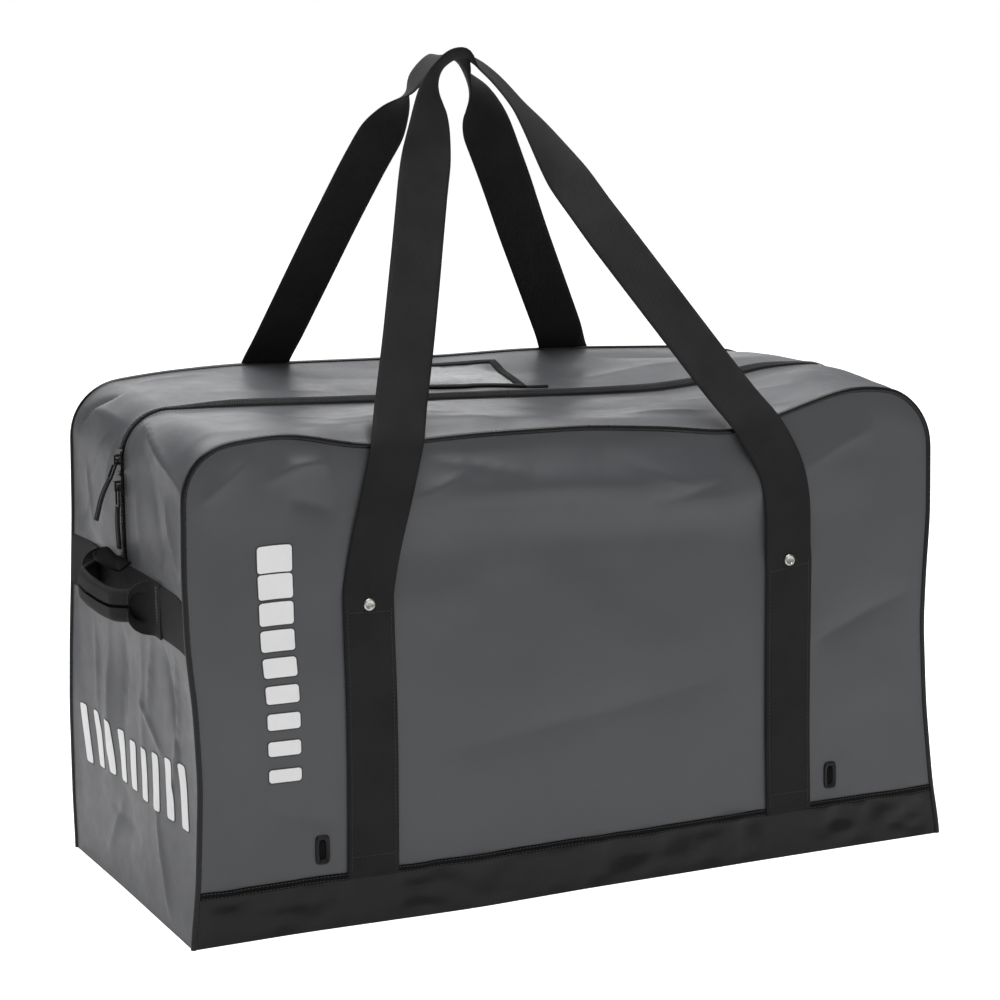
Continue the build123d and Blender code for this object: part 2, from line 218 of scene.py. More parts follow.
front_cave = draped(front_stations, front_levels, (
    (-3, -3, -8, -12, -9, -10, -10, -11, -12, -14),
    (-1, -3, -6, -9, -8, -8, -7, -8, -8, -9),
    (0, -5, -4, -8, -9, -8, -4, -6, -5, -2),
    (0, -6, -3, -6, -9, -7, -3, -6, -4, 0),
    (0, -4, -1, -3, -6, -4, 0, -4, -3, 0),
    (0, -1, 2, 0, -1, 0, 4, 0, 0, 1),
    (0, 0, 6, 3, 3, 4, 9, 4, 1, 2),
    (0, 1, 9, 5, 4, 6, 12, 6, 2, 3),
))
back_cave = draped(front_stations, front_levels, (
    (3, 4, 5, 6, 7, 6, 5, 5, 4, 3),
    (1, 4, 5, 7, 8, 7, 5, 5, 4, 1),
    (-1, 4, 3, 6, 8, 7, 3, 6, 4, 0),
    (-2, 3, 1, 5, 7, 6, 1, 5, 4, -1),
    (-2, 1, -1, 3, 5, 3, -1, 3, 3, -1),
    (-1, 0, -3, 0, 2, 0, -4, 0, 1, -2),
    (0, -1, -6, -2, 0, -2, -7, -2, 0, -3),
    (0, -1, -8, -3, -1, -3, -9, -3, -1, -4),
))


def settle(box_points):
    """Where a point of the flat-sided bag goes when the bag is loaded and stands: lengthwise
    by how the ends cave, crosswise by how the long faces bow, down by how the top sags,
    each fading out away from the face that it belongs to."""
    x, y, z = box_points[..., 0], box_points[..., 1], box_points[..., 2]
    left = smoothstep(-150, -half_length, x)
    right = smoothstep(150, half_length, x)
    shift_x = left * left_cave(z, y) - right * right_cave(z, y)
    front = smoothstep(-40, -half_width, y)
    back = smoothstep(40, half_width, y)
    shift_y = front * front_cave(x, z) + back * back_cave(x, z)
    sink = top_sag(x, y) * smoothstep(170, 440, z)
    moved = np.stack([x + shift_x, y + shift_y, z + sink], -1)
    return moved


def ripple(rows, columns, cells_u, cells_v, seed):
    """A seeded field of smooth random humps, cells_u by cells_v of them, about 1 high:
    random heights on a coarse lattice, spread over the grid by Gaussian weights."""
    lattice = np.random.default_rng(seed).standard_normal((cells_u + 2, cells_v + 2))
    u = np.linspace(0.5, cells_u + 0.5, rows)[:, None] - np.arange(cells_u + 2)[None, :]
    v = np.linspace(0.5, cells_v + 0.5, columns)[:, None] - np.arange(cells_v + 2)[None, :]
    weight_u = np.exp(-u * u / 0.5)
    weight_v = np.exp(-v * v / 0.5)
    weight_u = weight_u / np.sqrt((weight_u ** 2).sum(1))[:, None]
    weight_v = weight_v / np.sqrt((weight_v ** 2).sum(1))[:, None]
    return weight_u @ lattice @ weight_v.T


def fold_line(u, v, start, end, width, depth):
    """A crease from start to end over the cloth: depth times a sharp-topped tent across
    the line, fading to nothing at both of its ends."""
    start, end = np.array(start, float), np.array(end, float)
    run = end - start
    length = np.hypot(*run)
    along = ((u - start[0]) * run[0] + (v - start[1]) * run[1]) / length ** 2
    off = np.abs((u - start[0]) * run[1] - (v - start[1]) * run[0]) / length
    fade = np.sin(np.pi * np.clip(along, 0.0, 1.0)) ** 0.8
    return depth * np.exp(-off / width) * fade


def face_out(points, sign):
    """Unit normals of a grid of points: cross product of its two central differences."""
    normal = np.cross(np.gradient(points, axis=0), np.gradient(points, axis=1)) * sign
    return normal / np.linalg.norm(normal, axis=-1, keepdims=True)


def relax(base, sign, ease_u, ease_v, nudge, held, firm):
    """Lets cloth buckle: the cloth is cut larger than the space it fills by ease_u and
    ease_v, starts off the base by nudge, and each step moves neighbours back to their cut
    distance, evens out new bends and pulls a little towards the start (firm, 0 to 1).
    It runs on every fourth line of the grid, then every second, then all of it."""
    started = base + face_out(base, sign) * nudge[..., None]
    moved = started
    for stride, steps, bend in ((4, 260, 0.10), (2, 130, 0.12), (1, 60, 0.10)):
        rest = base[::stride, ::stride]
        start = started[::stride, ::stride]
        cloth = moved[::stride, ::stride].copy()
        fixed = held[::stride, ::stride]
        pull = firm[::stride, ::stride, None] / (4.0 / stride)
        over_u = 1.0 + ease_u[::stride, ::stride]
        over_v = 1.0 + ease_v[::stride, ::stride]
        both = (over_u + over_v) / 2.0
        links = []
        for near, far, over, stiff in (
            (np.s_[:-1, :], np.s_[1:, :], over_u, 1.0),
            (np.s_[:, :-1], np.s_[:, 1:], over_v, 1.0),
            (np.s_[:-1, :-1], np.s_[1:, 1:], both, 0.35),
            (np.s_[1:, :-1], np.s_[:-1, 1:], both, 0.35),
        ):
            length = np.linalg.norm(rest[far] - rest[near], axis=-1)
            links.append((near, far, length * over[near], stiff))
        for step in range(steps):
            push = np.zeros_like(cloth)
            for near, far, length, stiff in links:
                gap = cloth[far] - cloth[near]
                now = np.sqrt((gap * gap).sum(-1)) + 1e-9
                fix = gap * (0.5 * stiff * (now - length) / now)[..., None]
                push[near] += fix
                push[far] -= fix
            off = cloth - start
            push[1:-1] += bend * (off[2:] + off[:-2] - 2.0 * off[1:-1])
            push[:, 1:-1] += bend * (off[:, 2:] + off[:, :-2] - 2.0 * off[:, 1:-1])
            cloth = cloth + 0.45 * push - pull * off
            cloth[fixed] = rest[fixed]
        off = cloth - start
        rows = np.arange(base.shape[0]) / stride
        columns = np.arange(base.shape[1]) / stride
        a = np.minimum(rows.astype(int), off.shape[0] - 2)
        b = np.minimum(columns.astype(int), off.shape[1] - 2)
        s = (rows - a)[:, None, None]
        t = (columns - b)[None, :, None]
        near_rows = off[a][:, b] * (1 - t) + off[a][:, b + 1] * t
        far_rows = off[a + 1][:, b] * (1 - t) + off[a + 1][:, b + 1] * t
        moved = started + near_rows * (1 - s) + far_rows * s
    return moved


def arch_top(x):
    """Height of the piped edge over x: flat, with a quarter circle at both corners."""
    past = np.clip(np.abs(x) - corner_x, 0.0, corner)
    return corner_z + np.sqrt(corner * corner - past * past)


bend_turn = np.radians(np.linspace(0.0, 90.0, 19))[1:]
straight_x = np.linspace(-corner_x, corner_x, 177)
face_x = np.concatenate([
    -(corner_x + corner * np.sin(bend_turn))[::-1], straight_x,
    corner_x + corner * np.sin(bend_turn),
])
band_rows = 12
panel_rows = 104


def face_grid(side):
    """The flat face: columns along the bag, rows from the floor to the hem and on to the
    piped edge over that column. side is -1 for the front and 1 for the back."""
    low = np.linspace(0.0, band_height, band_rows + 1)
    share = np.linspace(0.0, 1.0, panel_rows + 1)[1:]
    top = arch_top(face_x)[:, None]
    z = np.concatenate([
        np.repeat(low[None], len(face_x), 0), band_height + (top - band_height) * share,
    ], 1)
    x = np.repeat(face_x[:, None], z.shape[1], 1)
    return np.stack([x, np.full_like(x, side * half_width), z], -1)


strap_x = 223.0
strap_w = 50.0
rivet_z = 310.0
# The face swells outward just below the sagging edge
swell, swell_x, swell_z = 15.0, 10.0, 408.0


def rim_of(rows, columns):
    """A mask that is true along the four sides of a grid."""
    edge = np.zeros((rows, columns), bool)
    edge[[0, -1]] = True
    edge[:, [0, -1]] = True
    return edge


def long_face(side, seed):
    """A long face as sewn and loaded: settled, then relaxed with a little spare cloth,
    held at its seams and kept flat under the sewn webbing."""
    flat = face_grid(side)
    x, z = flat[..., 0], flat[..., 2]
    rows, columns = x.shape
    under = np.exp(-((np.abs(x) - strap_x) / 31.0) ** 6) * smoothstep(335, 300, z)
    edge = smoothstep(0, 30, half_length - np.abs(x)) * smoothstep(0, 25, arch_top(x) - z)
    broad = ripple(rows, columns, 7, 5, seed)
    fine = ripple(rows, columns, 16, 13, seed + 1)
    upper = smoothstep(250, 400, z)
    band = smoothstep(56, 44, z)
    nudge = 1.3 * broad + (0.3 + 0.7 * upper) * fine
    nudge += 1.5 * band * ripple(rows, columns, 40, 40, seed + 2)
    nudge += (swell * np.exp(-((z - swell_z) / 30.0) ** 2)
              * smoothstep(250, 80, np.abs(x - swell_x)))
    for start, end, width, depth in (
        ((-300, 436), (-256, 446), 6, 5.0), ((-389, 406), (-330, 450), 12, 5.0),
        ((-320, 424), (-262, 448), 9, 5.0), ((-300, 408), (-250, 400), 12, -4.0),
        ((-180, 410), (-120, 432), 12, 5.0), ((-165, 448), (-60, 424), 8, 5.0),
        ((-150, 398), (40, 388), 12, -5.0), ((60, 388), (165, 418), 10, -6.0),
        ((20, 440), (120, 404), 9, 4.0), ((230, 400), (330, 425), 16, 5.0),
        ((-160, 150), (160, 190), 26, -3.5), ((-330, 120), (-250, 95), 16, -3.0),
        ((250, 210), (385, 260), 20, -4.0),
    ):
        nudge += fold_line(x, z, start, end, width, depth)
    nudge *= (1.0 - under) * edge * smoothstep(0, 14, z)
    ease = 0.002 + 0.003 * upper + 0.008 * band
    firm = 0.010 + 0.5 * under
    held = rim_of(rows, columns)
    return relax(settle(flat), side * -1.0, ease, ease * 1.1, nudge, held, firm)


def to_metres(points):
    """Millimetres to metres."""
    return np.asarray(points) * 0.001


def placed(name, mesh, material):
    """Puts the mesh in the scene as a piece of that name and material."""
    mesh.materials.append(material)
    piece = bpy.data.objects.new(name, mesh)
    bpy.context.scene.collection.objects.link(piece)
    return piece


def smooth_mesh(name, spots, faces):
    """A smooth-shaded mesh from points in mm."""
    mesh = bpy.data.meshes.new(name)
    mesh.from_pydata(to_metres(spots), [], faces)
    mesh.shade_smooth()
    return mesh


def cloth_mesh(name, outer, normal, thick, wrap, material):
    """A sheet with thickness: the grid as given, the same grid set back along its normals,
    and a rim of its own round the four sides. The sheet keeps the normals of the cloth it
    was cut from, so two pieces of one cloth meet without a line. wrap is its UV in metres."""
    rows, columns = outer.shape[:2]
    inner = outer - normal * thick
    index = np.arange(rows * columns).reshape(rows, columns)
    a, b = index[:-1, :-1].ravel(), index[1:, :-1].ravel()
    c, d = index[1:, 1:].ravel(), index[:-1, 1:].ravel()
    total = rows * columns
    front_faces = np.stack([a, b, c, d], 1)
    back_faces = np.stack([d, c, b, a], 1) + total
    ring = np.concatenate([index[:, 0], index[-1, 1:], index[-2::-1, -1], index[0, -2:0:-1]])
    flat_outer = outer.reshape(-1, 3)
    flat_inner = inner.reshape(-1, 3)
    count = len(ring)
    first = 2 * total + np.arange(count)
    after = 2 * total + (np.arange(count) + 1) % count
    rim_faces = np.stack([first, first + count, after + count, after], 1)
    spots = np.concatenate([flat_outer, flat_inner, flat_outer[ring], flat_inner[ring]])
    middle = np.cross(flat_outer[b[0]] - flat_outer[a[0]], flat_outer[d[0]] - flat_outer[a[0]])
    faces = np.concatenate([front_faces, back_faces, rim_faces])
    if middle @ normal[0, 0] < 0:
        faces = faces[:, ::-1]
    mesh = smooth_mesh(name, spots, faces.tolist())
    flat_normal = normal.reshape(-1, 3)
    edge_side = np.roll(flat_outer[ring], -1, 0) - np.roll(flat_outer[ring], 1, 0)
    outward = np.cross(edge_side, flat_normal[ring])
    if middle @ normal[0, 0] < 0:
        outward = -outward
    outward = outward / (np.linalg.norm(outward, axis=1, keepdims=True) + 1e-12)
    vertex_normals = np.concatenate([flat_normal, -flat_normal, outward, outward])
    mesh.normals_split_custom_set_from_vertices(vertex_normals.tolist())
    uv_points = np.concatenate([wrap.reshape(-1, 2)] * 2 + [wrap.reshape(-1, 2)[ring]] * 2)
    corner_vertex = np.empty(len(mesh.loops), np.int32)
    mesh.loops.foreach_get("vertex_index", corner_vertex)
    layer = mesh.uv_layers.new(name="cut")
    layer.data.foreach_set("uv", to_metres(uv_points)[corner_vertex].ravel())
    return placed(name, mesh, material)


def value_group(name, inputs, outputs):
    """An empty shader node group with those number inputs (name: default) and outputs."""
    group = bpy.data.node_groups.new(name, "ShaderNodeTree")
    for label, start in inputs.items():
        socket = group.interface.new_socket(
            name=label, in_out="INPUT", socket_type="NodeSocketFloat")
        socket.default_value = start
    for label, kind in outputs.items():
        group.interface.new_socket(name=label, in_out="OUTPUT", socket_type=kind)
    return group, group.nodes.new("NodeGroupInput"), group.nodes.new("NodeGroupOutput")


def math_node(tree, operation, first, second, third=None):
    """A Math node whose inputs are sockets or plain numbers; gives its output socket."""
    node = tree.nodes.new("ShaderNodeMath")
    node.operation = operation
    for place, value in enumerate((first, second, third)):
        if value is None:
            continue
        if isinstance(value, (int, float)):
            node.inputs[place].default_value = value
        else:
            tree.links.new(value, node.inputs[place])
    return node.outputs[0]


def noise_node(tree, vector, scale, detail, roughness=0.5):
    """A Noise texture on that vector; scale is a socket or a number."""
    node = tree.nodes.new("ShaderNodeTexNoise")
    tree.links.new(vector, node.inputs["Vector"])
    if isinstance(scale, (int, float)):
        node.inputs["Scale"].default_value = scale
    else:
        tree.links.new(scale, node.inputs["Scale"])
    node.inputs["Detail"].default_value = detail
    node.inputs["Roughness"].default_value = roughness
    return node.outputs[0]


def blend_colours(tree, share, first, second):
    """A Mix node between two colours (tuples or sockets) by share."""
    node = tree.nodes.new("ShaderNodeMix")
    node.data_type = "RGBA"
    tree.links.new(share, node.inputs[0])
    for socket, value in ((node.inputs[6], first), (node.inputs[7], second)):
        if isinstance(value, tuple):
            socket.default_value = value
        else:
            tree.links.new(value, socket)
    return node.outputs[2]


def spread_values(tree, value, low, high, new_low, new_high):
    """A Map Range node from low..high to new_low..new_high."""
    node = tree.nodes.new("ShaderNodeMapRange")
    tree.links.new(value, node.inputs["Value"])
    node.inputs["From Min"].default_value = low
    node.inputs["From Max"].default_value = high
    node.inputs["To Min"].default_value = new_low
    node.inputs["To Max"].default_value = new_high
    return node.outputs["Result"]


def add_bump(tree, shader, height, strength, distance):
    """Turns the shader's normal by that height, strength from 0 to 1, distance in metres."""
    bump = tree.nodes.new("ShaderNodeBump")
    bump.inputs["Strength"].default_value = strength
    bump.inputs["Distance"].default_value = distance
    tree.links.new(height, bump.inputs["Height"])
    tree.links.new(bump.outputs["Normal"], shader.inputs["Normal"])


def coated_surface():
    """Node group for coated fabric: Cloud is slow handling marks, Rub is fine scuffing, and
    Relief is the base weave showing through the coating as a faint pebble."""
    group, given, result = value_group(
        "coated_surface", {"Pebble Scale": 900.0, "Cloud Scale": 9.0},
        {"Cloud": "NodeSocketFloat", "Rub": "NodeSocketFloat", "Relief": "NodeSocketFloat"})
    place = group.nodes.new("ShaderNodeTexCoord").outputs["Object"]
    cloud = noise_node(group, place, given.outputs["Cloud Scale"], 4.0, 0.55)
    rub = noise_node(group, place, 75.0, 6.0, 0.65)
    pebble = noise_node(group, place, given.outputs["Pebble Scale"], 2.0, 0.6)
    soft = noise_node(group, place, 38.0, 3.0, 0.5)
    relief = math_node(group, "MULTIPLY_ADD", soft, 3.0, pebble)
    group.links.new(cloud, result.inputs["Cloud"])
    group.links.new(rub, result.inputs["Rub"])
    group.links.new(relief, result.inputs["Relief"])
    return group


coated_group = coated_surface()


def coated_material(name, dark, light, rough, sheen_of_coat, relief, shine=0.5):
    """Coated fabric: colour between dark and light by the cloud, roughness between the two
    values of rough by the rubbing, a bump from the relief and how much it mirrors."""
    material, tree, shader = new_material(name)
    effect = tree.nodes.new("ShaderNodeGroup")
    effect.node_tree = coated_group
    share = spread_values(tree, effect.outputs["Cloud"], 0.3, 0.7, 0.0, 1.0)
    tree.links.new(blend_colours(tree, share, dark, light), shader.inputs["Base Color"])
    finish = spread_values(tree, effect.outputs["Rub"], 0.3, 0.7, rough[0], rough[1])
    tree.links.new(finish, shader.inputs["Roughness"])
    add_bump(tree, shader, effect.outputs["Relief"], relief, 0.0004)
    shader.inputs["Specular IOR Level"].default_value = shine
    shader.inputs["Coat Weight"].default_value = sheen_of_coat
    shader.inputs["Coat Roughness"].default_value = 0.35
    return material


grey_tarpaulin = coated_material(
    "grey_tarpaulin", (0.066, 0.068, 0.074, 1.0), (0.074, 0.076, 0.083, 1.0),
    (0.38, 0.48), 0.06, 0.26)
black_tarpaulin = coated_material(
    "black_tarpaulin", (0.005, 0.005, 0.0055, 1.0), (0.009, 0.009, 0.010, 1.0),
    (0.34, 0.46), 0.0, 0.30, 0.32)

faces_of_bag = {"front": long_face(-1, 11), "back": long_face(1, 23)}
face_normals = {
    "front": face_out(faces_of_bag["front"], 1.0), "back": face_out(faces_of_bag["back"], -1.0),
}
face_cut = np.stack([face_grid(-1)[..., 0], face_grid(-1)[..., 2]], -1)
for word in ("front", "back"):
    cloth, normal = faces_of_bag[word], face_normals[word]
    for name, rows_used, material, slot in (
        ("_band", np.s_[:, :band_rows + 1], black_tarpaulin, "black_tarpaulin"),
        ("_panel", np.s_[:, band_rows:], grey_tarpaulin, "grey_tarpaulin"),
    ):
        piece = cloth_mesh(
            word + name + "_cloth", cloth[rows_used], normal[rows_used], cloth_t,
            face_cut[rows_used], material)
        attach(piece, "bag")
        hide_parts(word + name)


# Ends, gusset corners and top: one strip of the same cloth, 328 mm wide, that climbs the left
# end, turns over the top and goes down the right end. A slit 12 mm wide takes the zipper.
# Its corners are creased where the round seam pulls the stiff cloth into a flat fold.
arc_length = corner * math.pi / 2.0
strip_length = 2.0 * corner_z + 2.0 * arc_length + 2.0 * corner_x
zip_half = 6.0
zip_end_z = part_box("left_front_zip")[0][2] * 1000.0
webbing_z = (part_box("left_end_webbing")[0][2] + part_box("left_end_webbing")[1][2]) * 500.0
rise = np.linspace(0.0, corner_z, 105)
strip_s = np.concatenate([
    rise, corner_z + arc_length * np.linspace(0, 1, 19)[1:],
    corner_z + arc_length + 2.0 * corner_x * np.linspace(0, 1, 177)[1:],
    strip_length - corner_z - arc_length * np.linspace(1, 0, 19)[1:],
    strip_length - rise[::-1][1:],
])
strip_y = np.concatenate([
    np.linspace(-half_width, -zip_half, 41), np.linspace(-zip_half, zip_half, 5)[1:],
    np.linspace(zip_half, half_width, 41)[1:],
])
slit = (40, 44)
chain_rise_ends = 0.5
chain_rise_top = 5.3


def chain_tilt(s, y):
    """Height of the zipper over the cloth's own line: its rear edge stands higher than its
    front edge, most of all over the top, and both sink back into the cloth beside it."""
    over = smoothstep(468.0, 570.0, np.minimum(s, strip_length - s))
    beside = np.exp(-np.maximum(np.abs(y) - zip_half, 0.0) / 12.0)
    return (0.2 + smoothstep(-zip_half, zip_half, y) * (
        chain_rise_ends + chain_rise_top * over)) * beside


def arch_path(s):
    """(x, z) and outward (x, z) at a length s along the outline: up the left side, round
    a quarter circle, along the top and down the same way."""
    near = np.minimum(s, strip_length - s)
    turn = np.clip((near - corner_z) / corner, 0.0, math.pi / 2.0)
    x = -corner_x - corner * np.cos(turn) + np.clip(near - corner_z - arc_length, 0, None)
    z = np.minimum(near, corner_z) + corner * np.sin(turn)
    mirror = np.where(s <= strip_length / 2.0, 1.0, -1.0)
    return x * mirror, z, -np.cos(turn) * mirror, np.sin(turn)


def over_top(x):
    """Length along the strip at a place x on the top."""
    return corner_z + arc_length + corner_x + x


def strip_cloth():
    """The strip as sewn and loaded: settled, creased at its corners, then relaxed with spare
    cloth that lies across the ends as upright folds and along the top as long shallow ones."""
    s, y = np.meshgrid(strip_s, strip_y, indexing="ij")
    x, z, out_x, out_z = arch_path(s)
    base = settle(np.stack([x, y, z], -1))
    out = np.stack([out_x, np.zeros_like(s), out_z], -1)
    far = strip_length
    ridge = fold_line(s, y, (464, -8), (424, -160), 8, 9.0)
    ridge += fold_line(s, y, (452, 10), (446, 158), 10, 6.0)
    ridge += fold_line(s, y, (far - 456, -8), (far - 436, -160), 9, 6.0)
    ridge += fold_line(s, y, (far - 456, 8), (far - 440, 160), 9, 7.0)
    ridge -= fold_line(s, y, (430, 150), (474, 92), 5, 8.0)
    base = base + out * ridge[..., None]
    rows, columns = s.shape
    near = np.minimum(s, far - s)
    on_end = smoothstep(450, 400, near)
    on_top = 1.0 - on_end
    webbing = np.exp(-((near - webbing_z) / 30.0) ** 6)
    chain = smoothstep(16, 5, np.abs(y)) * smoothstep(290, 330, near)
    nudge = on_end * (1.2 * ripple(rows, columns, 14, 5, 5) + 0.5 * ripple(rows, columns, 50, 12, 6))
    nudge += on_top * (1.5 * ripple(rows, columns, 18, 5, 7) + 0.5 * ripple(rows, columns, 60, 12, 8))
    for start, end, width, depth in (
        ((262, -128), (120, -98), 5, 4.5), ((268, -92), (150, -118), 5, -4.0),
        ((266, -62), (175, -40), 6, 4.0), ((262, -28), (130, -26), 5, 3.6),
        ((255, 20), (150, 36), 7, -3.6), ((262, 62), (100, 70), 8, 3.6),
        ((250, 108), (140, 92), 7, 3.0), ((205, -10), (150, -80), 5, 3.0),
        ((118, -62), (6, -112), 6, 4.0), ((95, 20), (20, 70), 9, 3.0),
        ((60, -30), (75, 60), 10, -3.0), ((336, -150), (405, -120), 8, 3.6),
        ((332, -96), (440, -70), 10, -4.0), ((330, -40), (420, -40), 8, 3.0),
        ((452, 30), (352, 128), 6, 4.5), ((438, 18), (345, 66), 6, 3.5),
        ((420, 60), (330, 150), 7, -3.5), ((332, 96), (400, 118), 7, 3.0),
    ):
        nudge += fold_line(s, y, start, end, width, depth)
        turned = ((far - start[0] + 6, -start[1]), (far - end[0] - 9, -end[1]))
        nudge += fold_line(s, y, turned[0], turned[1], width, depth * 0.9)
    for start, end, width, depth in (
        ((-330, -60), (-210, -110), 12, 3.0), ((-240, -120), (-120, -128), 9, 4.0),
        ((-170, -96), (-90, -112), 7, -3.0), ((-60, -70), (120, -84), 20, -3.0),
        ((60, -120), (170, -110), 10, 4.0), ((150, -60), (280, -96), 12, 3.0),
        ((-300, 60), (-160, 44), 16, 3.0), ((-200, 120), (-60, 100), 18, -3.0),
        ((90, 60), (250, 80), 16, 3.0), ((160, 130), (300, 100), 12, -3.0),
        ((-340, 130), (-250, 140), 10, 3.0), ((300, -40), (345, -120), 9, 3.0),
    ):
        first, last = (over_top(start[0]), start[1]), (over_top(end[0]), end[1])
        nudge += fold_line(s, y, first, last, width, depth)
    keep = 1.0 - np.clip(chain + 0.8 * webbing, 0.0, 1.0)
    nudge *= keep * smoothstep(0, 22, half_width - np.abs(y)) * smoothstep(0, 30, near)
    ease_s = 0.002 + 0.001 * on_end
    ease_y = 0.002 + 0.0015 * on_end
    held = rim_of(rows, columns)
    firm = 0.010 + 0.35 * np.clip(chain + 0.5 * webbing, 0.0, 1.0)
    lip = chain_tilt(s, y) * (np.abs(y) > 5.9) * smoothstep(325, 345, near)
    return relax(base, 1.0, ease_s, ease_y, nudge, held, firm), lip


strip, flap_lip = strip_cloth()
strip_normal = face_out(strip, 1.0)
strip_cut = np.stack(np.meshgrid(strip_s, strip_y, indexing="ij"), -1)
webbing_row = int(np.argmin(np.abs(rise - webbing_z)))
middle_row = len(strip_s) // 2
last_row = len(strip_s) - 1
for name, low_row, high_row in (
    ("left", 0, webbing_row), ("right", last_row - webbing_row, last_row),
):
    used = np.s_[low_row:high_row + 1]
    piece = cloth_mesh(
        name + "_end_cloth", strip[used], strip_normal[used], cloth_t, strip_cut[used],
        grey_tarpaulin)
    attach(piece, "bag")
    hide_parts(name + "_end_panel")

lifted = strip + strip_normal * flap_lip[..., None]
for half, low_column, high_column in (("front", 0, slit[0]), ("rear", slit[1], len(strip_y) - 1)):
    for end, low_row, high_row in (
        ("left", webbing_row, middle_row), ("right", middle_row, last_row - webbing_row),
    ):
        used = np.s_[low_row:high_row + 1, low_column:high_column + 1]
        piece = cloth_mesh(
            end + "_" + half + "_top_cloth", lifted[used], strip_normal[used], cloth_t,
            strip_cut[used], grey_tarpaulin)
        way = -1.0 if end == "left" else 1.0
        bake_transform(piece)
        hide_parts(end + "_" + half + "_gusset", half + "_top_flap")


# Bottom: black coated cloth sewn to the foot of every side. It lies on the floor.
floor_x, floor_y = np.meshgrid(
    np.linspace(-half_length, half_length, 101), np.linspace(-half_width, half_width, 43),
    indexing="ij")
base_cloth = settle(np.stack([floor_x, floor_y, np.zeros_like(floor_x)], -1))
base_cloth[..., 2] = 0.0
base_down = np.zeros_like(base_cloth)
base_down[..., 2] = -1.0
bottom = cloth_mesh(
    "bottom_cloth", base_cloth, base_down, 1.2, np.stack([floor_x, floor_y], -1),
    black_tarpaulin)
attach(bottom, "bag")
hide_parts("bottom_panel")


# Piping: a cord in a sleeve of shiny black vinyl, sewn into the front and back edges from the
# floor up one side, round both corners and down the other. Inside, a bound seam allowance.
piping_r = 2.7
piping_inset = 0.6


def run_along(points):
    """Length along a line up to each of its points."""
    step = np.linalg.norm(np.diff(points, axis=0), axis=1)
    return np.concatenate([[0.0], np.cumsum(step)])


def read_line(at, run, points):
    """Places on a line whose points stand at run, read at the lengths at."""
    return np.stack([np.interp(at, run, points[:, k]) for k in range(3)], -1)


def sweep(name, centre, side, lift, profile, material):
    """A profile carried along a path: at each station the profile's first number goes along
    side and its second along lift. Both ends are capped by a fan round their middle. UV is
    the length along the path and the length round the profile, in metres."""
    stations, around = len(centre), len(profile)
    spots = (centre[:, None] + side[:, None] * profile[None, :, :1]
             + lift[:, None] * profile[None, :, 1:2])
    index = np.arange(stations * around).reshape(stations, around)
    a, b = index[:-1], index[1:]
    faces = np.stack([a, b, np.roll(b, -1, 1), np.roll(a, -1, 1)], -1).reshape(-1, 4).tolist()
    turn = np.cross(side[0], lift[0]) @ (centre[1] - centre[0])
    area = (profile[:, 0] * np.roll(profile[:, 1], -1) - profile[:, 1] * np.roll(profile[:, 0], -1))
    inside_out = turn * area.sum() > 0
    caps = [index[0, ::-1].tolist(), index[-1].tolist()]
    if inside_out:
        faces = [face[::-1] for face in faces]
        caps = [cap[::-1] for cap in caps]
    faces = [face[::-1] for face in faces] + caps
    mesh = smooth_mesh(name, spots.reshape(-1, 3), faces)
    run = run_along(centre)
    step = np.linalg.norm(np.roll(profile, -1, 0) - profile, axis=1)
    round_length = np.concatenate([[0.0], np.cumsum(step)])[:around]
    uv_points = np.stack(np.meshgrid(run, round_length, indexing="ij"), -1).reshape(-1, 2)
    corner_vertex = np.empty(len(mesh.loops), np.int32)
    mesh.loops.foreach_get("vertex_index", corner_vertex)
    uv = to_metres(uv_points)[corner_vertex]
    wrapped = corner_vertex.reshape(-1)[:4 * (stations - 1) * around].reshape(-1, 4) % around
    high = wrapped.max(1) - wrapped.min(1) > around / 2
    patch = uv[:4 * (stations - 1) * around].reshape(-1, 4, 2)
    patch[..., 1] += (high[:, None] & (wrapped == 0)) * (step.sum() * 0.001)
    layer = mesh.uv_layers.new(name="cut")
    layer.data.foreach_set("uv", uv.ravel())
    return placed(name, mesh, material)


def unit(vectors):
    """Vectors divided by their lengths."""
    return vectors / (np.linalg.norm(vectors, axis=-1, keepdims=True) + 1e-12)


def path_frame(centre, side):
    """side made square to the path, and the third direction, at each station."""
    along = unit(np.gradient(centre, axis=0))
    square = unit(side - along * (side * along).sum(-1, keepdims=True))
    return along, square, np.cross(along, square)


def oval(width, height, count):
    """Points round an ellipse."""
    turn = np.linspace(0.0, 2.0 * math.pi, count, endpoint=False)
    return np.stack([width / 2.0 * np.cos(turn), height / 2.0 * np.sin(turn)], -1)


